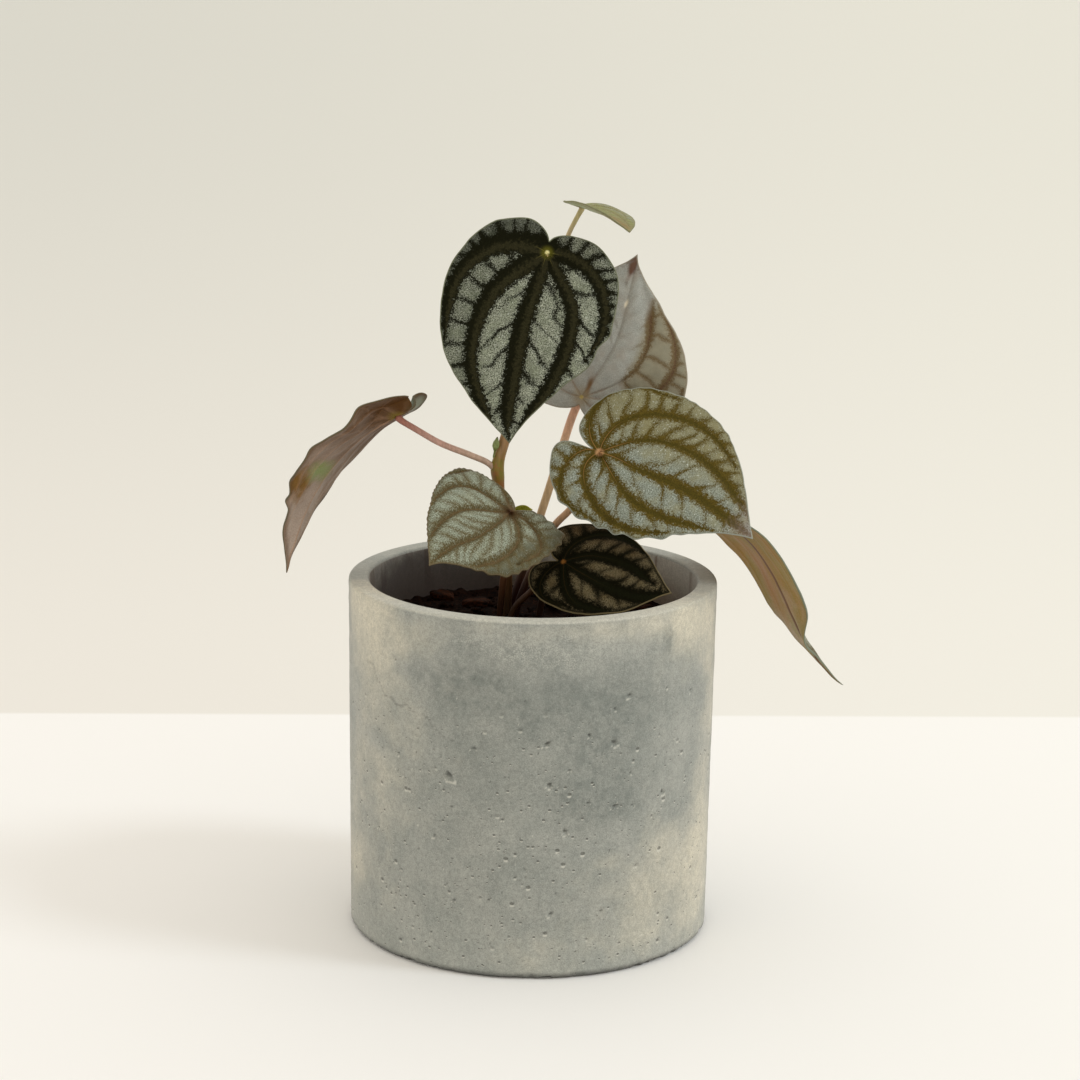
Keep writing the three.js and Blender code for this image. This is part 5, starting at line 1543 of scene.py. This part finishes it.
def upper_face(name, look):
    """The face of a leaf. field is the distance in mm to the nearest dark tissue: a main vein, a
    rung, the stalk or the margin, with the corners between them rounded. panel goes from 0 in the
    dark tissue to 1 in the silver one."""
    leaf = Finish(name, 0.5, look.get("gloss", 0.1))
    flat = leaf.vector("flat")
    clear, core, line, gap, hub = (leaf.value(key) for key in ("clear", "core", "line", "gap", "hub"))
    tipward = leaf.value("tipward")
    feather = leaf.noise(1.0, flat, detail=3, roughness=0.6)
    grain = leaf.noise(look.get("grain", 0.32), flat, detail=2, roughness=0.7)
    cloud = leaf.noise(5, flat, detail=3)
    beside_rib = leaf.math("SUBTRACT", beside_rung(leaf), leaf.value("rib"))
    uneven = leaf.math("SUBTRACT", leaf.step(feather, 0.3, 0.7), 0.5)
    ragged = leaf.times(uneven, look.get("ragged", 1.0))
    rib_edge = leaf.math("ADD", beside_rib, leaf.times(ragged, 0.3))
    field = leaf.blend_least(leaf.math("ADD", clear, ragged), rib_edge, look.get("web", 1.2))
    beside_stalk = leaf.times(leaf.math("SUBTRACT", hub, look["hub"]), 0.5)
    field = leaf.blend_least(field, beside_stalk, 1.5)
    beside_margin = leaf.math("SUBTRACT", gap, look.get("band", 0.3))
    field = leaf.blend_least(field, beside_margin, 0.5)
    stipple = leaf.math("SUBTRACT", leaf.step(grain, 0.34, 0.66), 0.5)
    edge = leaf.math("ADD", field, leaf.times(stipple, look.get("stipple", 0.5)))
    panel = leaf.step(edge, -0.1, look.get("soft", 0.5))
    faded = leaf.times(leaf.math("SUBTRACT", 1.0, panel), leaf.value("strength"))
    panel = leaf.math("SUBTRACT", 1.0, faded)
    # Colours of both tissues.
    pale = leaf.mix(leaf.step(grain, 0.40, 0.60), colour(*look["panel_low"]), colour(*look["panel"]))
    warm = colour(*look.get("panel_warm", look["panel"]))
    pale = leaf.mix(leaf.step(cloud, 0.42, 0.7, 0.0, 0.6), pale, warm)
    side = leaf.add("SeparateXYZ", {0: flat}, 0)
    tinted = leaf.step(side, *look.get("side_from", (98, 99)), 0.0, look.get("side_amount", 0.0))
    pale = leaf.mix(tinted, pale, colour(*look.get("side", look["panel"])))
    # Painted highlights: tiny pale glints scattered over the silver panels.
    glint_specks = leaf.step(leaf.noise(0.45, detail=1), 0.66, 0.72, 0.0, look.get("glint_amount", 0.0))
    pale = leaf.mix(glint_specks, pale, colour(206, 212, 204))
    pale = leaf.shade(pale, leaf.value("tone"))
    weathered = leaf.noise(2.2, flat, detail=3, roughness=0.6)
    mottled = look.get("mottled", 0.08)
    pale = leaf.shade(pale, leaf.step(weathered, 0.3, 0.7, 1 - mottled, 1 + mottled))
    glow = leaf.step(edge, look.get("halo", 1.4), 0, 0, look.get("halo_amount", 0.4))
    glow = leaf.times(glow, leaf.value("strength"))
    pale = leaf.mix(glow, pale, colour(*look.get("halo_colour", look["core"])))
    middle = leaf.math("ADD", core, leaf.times(uneven, 0.6))
    middle = leaf.step(middle, *look.get("core_to", (0.8, 0.2)))
    dark = leaf.mix(middle, colour(*look["vein"]), colour(*look["core"]))
    dark = leaf.shade(dark, leaf.step(grain, 0.35, 0.65, 0.75, 1.3))
    tone = leaf.mix(panel, dark, pale)
    to_tip = leaf.math("ADD", tipward, leaf.times(ragged, 0.05))
    tint = leaf.step(to_tip, *look.get("tip_from", (0.75, 1.0)), 0.0, look.get("tip_amount", 0.0))
    tone = leaf.mix(tint, tone, colour(*look.get("tip", look["panel"])))
    tone = patched(leaf, tone, flat, cloud, look.get("patches", []))
    # A fine line along each main vein near its base, the margin and the stalk's spot.
    fine = look.get("thread_half", 0.12)
    thread = leaf.step(leaf.math("ABSOLUTE", line), 1.5 * fine, 0.5 * fine)
    thread = leaf.times(thread, leaf.step(hub, *look.get("thread_to", (20, 4))))
    thread = leaf.times(thread, look.get("thread_amount", 0.6))
    tone = leaf.mix(thread, tone, colour(*look["thread"]))
    tone = leaf.mix(leaf.step(gap, 0.45, 0.18, 0.0, 0.8), tone, colour(*look["margin"]))
    flush = leaf.step(hub, *look.get("flush_size", (4, 1)), 0.0, look.get("flush_amount", 0.0))
    tone = leaf.mix(flush, tone, colour(*look.get("flush", look["spot"])))
    # On the top leaf the stalk's spot is a painted highlight.
    tone = leaf.mix(leaf.step(hub, *look.get("spot_size", (1.7, 0.6))), tone, colour(*look["spot"]))
    relief = leaf.bump(panel, 0.10, 0.6, leaf.bump(grain, 0.14, 0.6))
    rough = leaf.step(panel, 0, 1, look.get("vein_rough", 0.45), look.get("rough", 0.55))
    return leaf.paint(tone, relief, rough)


# %% The underside
def under_face(name, look):
    """Matt, and changing from the near to the far colour on the way to the tip, with thin raised veins
    and soft blotches of a third colour."""
    leaf = Finish(name, 0.5, look.get("gloss", 0.3))
    flat = leaf.vector("flat")
    line, gap, hub, tipward = (leaf.value(key) for key in ("line", "gap", "hub", "tipward"))
    cloud = leaf.noise(7, flat, detail=4, roughness=0.6)
    grain = leaf.noise(0.5, flat, detail=3, roughness=0.7)
    along = leaf.math("ADD", tipward, leaf.times(leaf.math("SUBTRACT", cloud, 0.5), 0.6))
    turn = leaf.step(along, *look.get("turn", (0.2, 0.7)))
    tone = leaf.mix(turn, colour(*look["near"]), colour(*look["far"]))
    blotch = leaf.step(leaf.noise(9, flat, detail=3), *look.get("blotches", (0.5, 0.62)))
    blotch = leaf.times(blotch, look.get("blotch_amount", 0.8))
    tone = leaf.mix(blotch, tone, colour(*look["blotch"]))
    tone = patched(leaf, tone, flat, cloud, look.get("patches", []))
    rib = leaf.times(leaf.step(beside_rung(leaf), 0.45, 0.1), look.get("rib_amount", 0.12))
    tone = leaf.mix(rib, tone, colour(*look["vein"]))
    beside_line = leaf.math("ABSOLUTE", line)
    side_vein = leaf.step(beside_line, 0.9, 0.2, 0.0, look.get("side_vein_amount", 0.2))
    across = leaf.math("ABSOLUTE", leaf.add("SeparateXYZ", {0: flat}, 0))
    midrib = leaf.step(across, *look.get("midrib_half", (0.7, 0.25)), 0.0, look.get("vein_amount", 0.6))
    vein = leaf.math("MAXIMUM", side_vein, midrib)
    tone = leaf.mix(vein, tone, colour(*look["vein"]))
    edge = leaf.step(gap, 2.2, 0.2, 0.0, look.get("edge_amount", 0.6))
    tone = leaf.mix(edge, tone, colour(*look["edge"]))
    stalk = leaf.step(hub, *look.get("stalk_size", (4.5, 1.5)))
    tone = leaf.mix(stalk, tone, colour(*look.get("stalk", look["vein"])))
    tone = leaf.shade(tone, leaf.step(grain, 0.3, 0.7, 0.86, 1.12))
    raised = leaf.step(beside_line, 0.9, 0.2)
    relief = leaf.bump(raised, look.get("raise", 0.25), 0.6, leaf.bump(grain, 0.12, 0.5))
    return leaf.paint(tone, relief)


# %% Palettes
# Colours of the upper face: panel, panel_low and panel_warm are the silver tissue's bright grain,
# dark grain and clouds, vein and core the dark tissue and the middle of its veins, and halo_colour
# where the two meet. thread is the fine line, and spot and flush are where the stalk joins and
# round about; on the top leaf the spot is a painted highlight. side and tip tint the blade across
# (x from, x to) and along (share from, share to).
# hub, band, soft, halo and web are lengths in mm, and stipple and ragged how rough the edge is.
UPPER_LOOKS = {
    "top": {
        "panel": (162, 166, 150), "panel_low": (74, 78, 62), "panel_warm": (116, 122, 102),
        "vein": (20, 20, 8), "core": (43, 41, 25), "halo_colour": (44, 48, 32), "thread": (120, 112, 60),
        "margin": (120, 124, 100), "spot": (226, 218, 160), "flush": (112, 108, 34),
        "hub": 4.4, "band": -0.5, "soft": 0.7, "ragged": 1.3, "stipple": 0.9, "web": 1.0, "grain": 0.36,
        "halo_amount": 0.3, "core_to": (0.7, 0.05), "thread_to": (5, 1), "thread_amount": 0.45,
        "spot_size": (0.9, 0.3), "flush_amount": 0.6, "flush_size": (2.6, 0.5), "mottled": 0.2,
        "glint_amount": 0.5, "gloss": 0.03, "vein_rough": 0.6, "rough": 0.6,
    },
    "right": {
        "panel": (151, 158, 148), "panel_low": (106, 111, 98), "panel_warm": (138, 134, 102),
        "vein": (84, 70, 20), "core": (70, 60, 12), "halo_colour": (108, 100, 62),
        "thread": (168, 120, 70), "margin": (156, 162, 152), "spot": (186, 146, 104),
        "hub": 1.6, "band": -0.3, "soft": 1.1, "ragged": 1.3, "stipple": 0.8, "web": 1.0, "grain": 0.4,
        "halo": 1.6, "halo_amount": 0.45, "core_to": (0.9, 0.2), "thread_to": (14, 3),
        "thread_amount": 0.65, "thread_half": 0.09, "tip": (140, 122, 118), "tip_amount": 0.5,
        "tip_from": (0.78, 1.0), "side": (128, 118, 74), "side_from": (-3, -14), "side_amount": 0.6,
        "glint_amount": 0.7,
    },
    "front": {
        "panel": (161, 168, 152), "panel_low": (120, 125, 107), "panel_warm": (144, 146, 124),
        "vein": (96, 86, 58), "core": (96, 80, 52), "halo_colour": (116, 113, 82),
        "thread": (120, 100, 70), "margin": (112, 100, 76), "spot": (70, 44, 22), "flush": (92, 70, 44),
        "hub": 1.2, "band": -0.2, "soft": 1.8, "ragged": 1.3, "stipple": 1.0, "web": 0.7, "grain": 0.38,
        "halo": 1.9, "thread_amount": 0.2, "spot_size": (1.8, 0.5), "flush_amount": 0.6,
        "flush_size": (5.0, 1.2), "side": (86, 84, 64), "side_from": (-8.5, -13), "side_amount": 0.8,
        "glint_amount": 0.5,
    },
    # The low leaf lies in the shadow of the right leaf, and its dark palette is partly painted shade.
    "low": {
        "panel": (128, 118, 92), "panel_low": (72, 64, 44), "panel_warm": (100, 86, 58),
        "vein": (19, 18, 8), "core": (24, 25, 13), "halo_colour": (46, 38, 24), "thread": (80, 54, 28),
        "margin": (144, 130, 96), "spot": (160, 108, 52),
        "hub": 2.2, "soft": 1.6, "stipple": 0.6, "web": 1.1, "halo": 2.2, "halo_amount": 0.5,
        "thread_amount": 0.25, "spot_size": (1.1, 0.2), "gloss": 0.02, "vein_rough": 0.65, "rough": 0.65,
        "side": (60, 38, 20), "side_from": (-4, -14), "side_amount": 0.6,
    },
    "back": {
        "panel": (180, 184, 179), "panel_low": (158, 160, 154), "panel_warm": (168, 163, 154),
        "vein": (104, 86, 54), "core": (94, 70, 42), "halo_colour": (136, 122, 94),
        "thread": (142, 108, 74), "margin": (146, 138, 120), "spot": (196, 176, 110),
        "flush": (150, 130, 90),
        "hub": 1.0, "band": -0.4, "soft": 1.2, "ragged": 0.9, "stipple": 0.3, "web": 0.8, "halo": 2.0,
        "thread_to": (14, 3), "thread_amount": 0.3, "thread_half": 0.35, "tip": (84, 56, 40),
        "tip_amount": 0.9, "tip_from": (0.84, 0.98), "gloss": 0.35, "rough": 0.45,
        "side": (134, 128, 102), "side_from": (9, 13), "side_amount": 0.8, "spot_size": (0.9, 0.3),
        "flush_amount": 0.5, "flush_size": (4.5, 1.0),
        "patches": [
            (1.0, 4.2, 1.0, 3.6, (122, 96, 66)), (0.4, 41, 1.2, 4.5, (96, 66, 48)),
            # The small pale patch at (2.7, 30.7) is a painted highlight, a glint on a fold.
            (2.7, 30.7, 0.6, 1.7, (226, 218, 196)),
        ],
    },
    "left": {
        "panel": (132, 140, 128), "panel_low": (104, 110, 96), "vein": (80, 84, 68),
        "core": (90, 90, 72), "thread": (150, 120, 80), "margin": (100, 92, 72),
        "spot": (180, 150, 100), "hub": 1.5, "soft": 0.9, "stipple": 0.4,
    },
    "drooping": {
        "panel": (150, 152, 134), "panel_low": (104, 106, 86), "vein": (88, 76, 44),
        "core": (104, 84, 52), "thread": (150, 120, 80), "margin": (130, 138, 122),
        "spot": (180, 150, 100), "hub": 1.5, "soft": 0.7, "halo_amount": 0.5,
    },
    "crown": {
        "panel": (160, 170, 154), "panel_low": (142, 152, 132), "vein": (136, 132, 92),
        "core": (130, 122, 82), "thread": (140, 144, 100), "margin": (120, 122, 90),
        "spot": (150, 156, 90), "hub": 0.5, "soft": 0.9, "tip": (150, 122, 78), "tip_amount": 0.4,
        "tip_from": (0.8, 1.0), "spot_size": (0.8, 0.3), "web": 0.4,
        "side": (142, 148, 84), "side_from": (-5.6, -4.8), "side_amount": 0.85,
        "patches": [(1.5, 8, 3, 4, (134, 148, 96)), (1, 19, 3.6, 8, (142, 122, 80))],
    },
    "young": {
        "panel": (176, 172, 20), "panel_low": (140, 142, 12), "vein": (110, 112, 16),
        "core": (112, 116, 16), "thread": (140, 140, 24), "margin": (176, 172, 60),
        "spot": (140, 130, 60), "hub": 0.2, "web": 0.2, "ragged": 0.2, "spot_size": (0.5, 0.2),
    },
}
# Undersides that the photo hides share one palette.
PALE_UNDER = {
    "near": (150, 122, 96), "far": (156, 134, 114), "blotch": (138, 132, 96), "vein": (150, 108, 84),
    "edge": (136, 116, 88),
}
UNDER_LOOKS = {
    "left": {
        "near": (90, 59, 27), "far": (172, 154, 140), "blotch": (130, 138, 88), "vein": (172, 136, 110),
        "edge": (92, 66, 36), "turn": (-0.15, 0.78), "blotch_amount": 0.0, "gloss": 0.12,
        "stalk": (128, 108, 50), "stalk_size": (3.2, 0.8),
        "patches": [
            (9, -6, 9, 5, (140, 146, 126)), (-13, 31, 8, 8, (122, 90, 46)), (-6, 26, 8, 4.2, (136, 146, 92)),
        ],
    },
    "drooping": {
        "near": (162, 124, 56), "far": (182, 162, 138), "blotch": (142, 132, 62), "vein": (96, 46, 22),
        "edge": (124, 120, 84), "turn": (0.4, 0.82), "vein_amount": 0.85, "rib_amount": 0.05, "gloss": 0.12,
        "blotches": (0.42, 0.6), "side_vein_amount": 0.03, "edge_amount": 0.4, "raise": 0.06,
        "blotch_amount": 0.45, "midrib_half": (1.5, 0.4), "patches": [(-7, 24, 5, 14, (172, 128, 84))],
    },
    "crown": {
        "near": (150, 164, 116), "far": (148, 140, 102), "blotch": (156, 164, 132), "vein": (120, 90, 56),
        "edge": (110, 96, 62), "turn": (0.3, 0.7), "vein_amount": 0.3,
    },
    "young": {
        "near": (140, 142, 28), "far": (150, 150, 36), "blotch": (120, 124, 24), "vein": (110, 112, 30),
        "edge": (150, 150, 60),
    },
}

# %% Nine leaves
for name, leaf in LEAVES.items():
    leaf_grid, leaf_values, leaf_bands = blade_rings(leaf)
    blade = skin(f"blade_{name}", leaf_grid, leaf_values, leaf_bands)
    under_look = UNDER_LOOKS.get(name, PALE_UNDER)
    faces = [upper_face(f"{name}_upper", UPPER_LOOKS[name]), under_face(f"{name}_under", under_look)]
    place_piece(blade, faces, leaf.get("slot", "silver_leaf"), f"{name}_leaf")

# %% [markdown]
# ## The bud
# In the corner between the main stem and the left stalk sits a bud on a thin stalk. It is a turned
# profile, so the round profile of the stems serves again, with a radius that follows the bud.

# %% The bud in the leaf's corner
BUD_FOOT = np.array([-12.3, 4.4, 141.9])
BUD_TIP = np.array([-11.2, 3.8, 148.4])
# (distance from the foot, radius)
BUD_PROFILE = [(0, 0.05), (0.1, 0.3), (2, 0.3), (3.4, 0.95), (5, 0.9), (6.2, 0.4), (6.6, 0.05)]
BUD_ROWS = 60


def bud_rings():
    """Rings from foot to tip: the profile's radius times 1 + 0.16 sin(2 angle + 9 share), so that two
    scales wind round it and stand out a little."""
    share = np.linspace(0, 1, BUD_ROWS)
    route = BUD_FOOT + share[:, None] * (BUD_TIP - BUD_FOOT)
    heights, radii = np.array(BUD_PROFILE, float).T
    radius = np.interp(share * heights[-1], heights, radii)
    turn = np.linspace(0, 2 * math.pi, ROUND_COLUMNS, endpoint=False)
    scales = 0.16 * np.sin(2 * turn[None, :] + 9 * share[:, None]) * soft_step(share, 0.4, 0.7)[:, None]
    rings = carried_round(route, radius[:, None] * (1 + scales))
    return rings, {"share": np.repeat(share[:, None], ROUND_COLUMNS, 1)}


def bud_skin():
    """Dull green on its stalk, fresher on the scales and brown at the very tip."""
    bud = Finish("bud_green", 0.4, 0.4)
    share = bud.value("share")
    tone = bud.mix(bud.step(share, 0.3, 0.6), colour(112, 118, 60), colour(128, 140, 84))
    tone = bud.mix(bud.step(share, 0.9, 1.0), tone, colour(70, 50, 34))
    grain = bud.noise(0.5)
    tone = bud.shade(tone, bud.step(grain, 0.3, 0.7, 0.8, 1.15))
    return bud.paint(tone, bud.bump(grain, 0.1, 0.6))


bud_grid, bud_values = bud_rings()
place_piece(skin("bud_scales", bud_grid, bud_values), [bud_skin()], "bud", "node_bud")
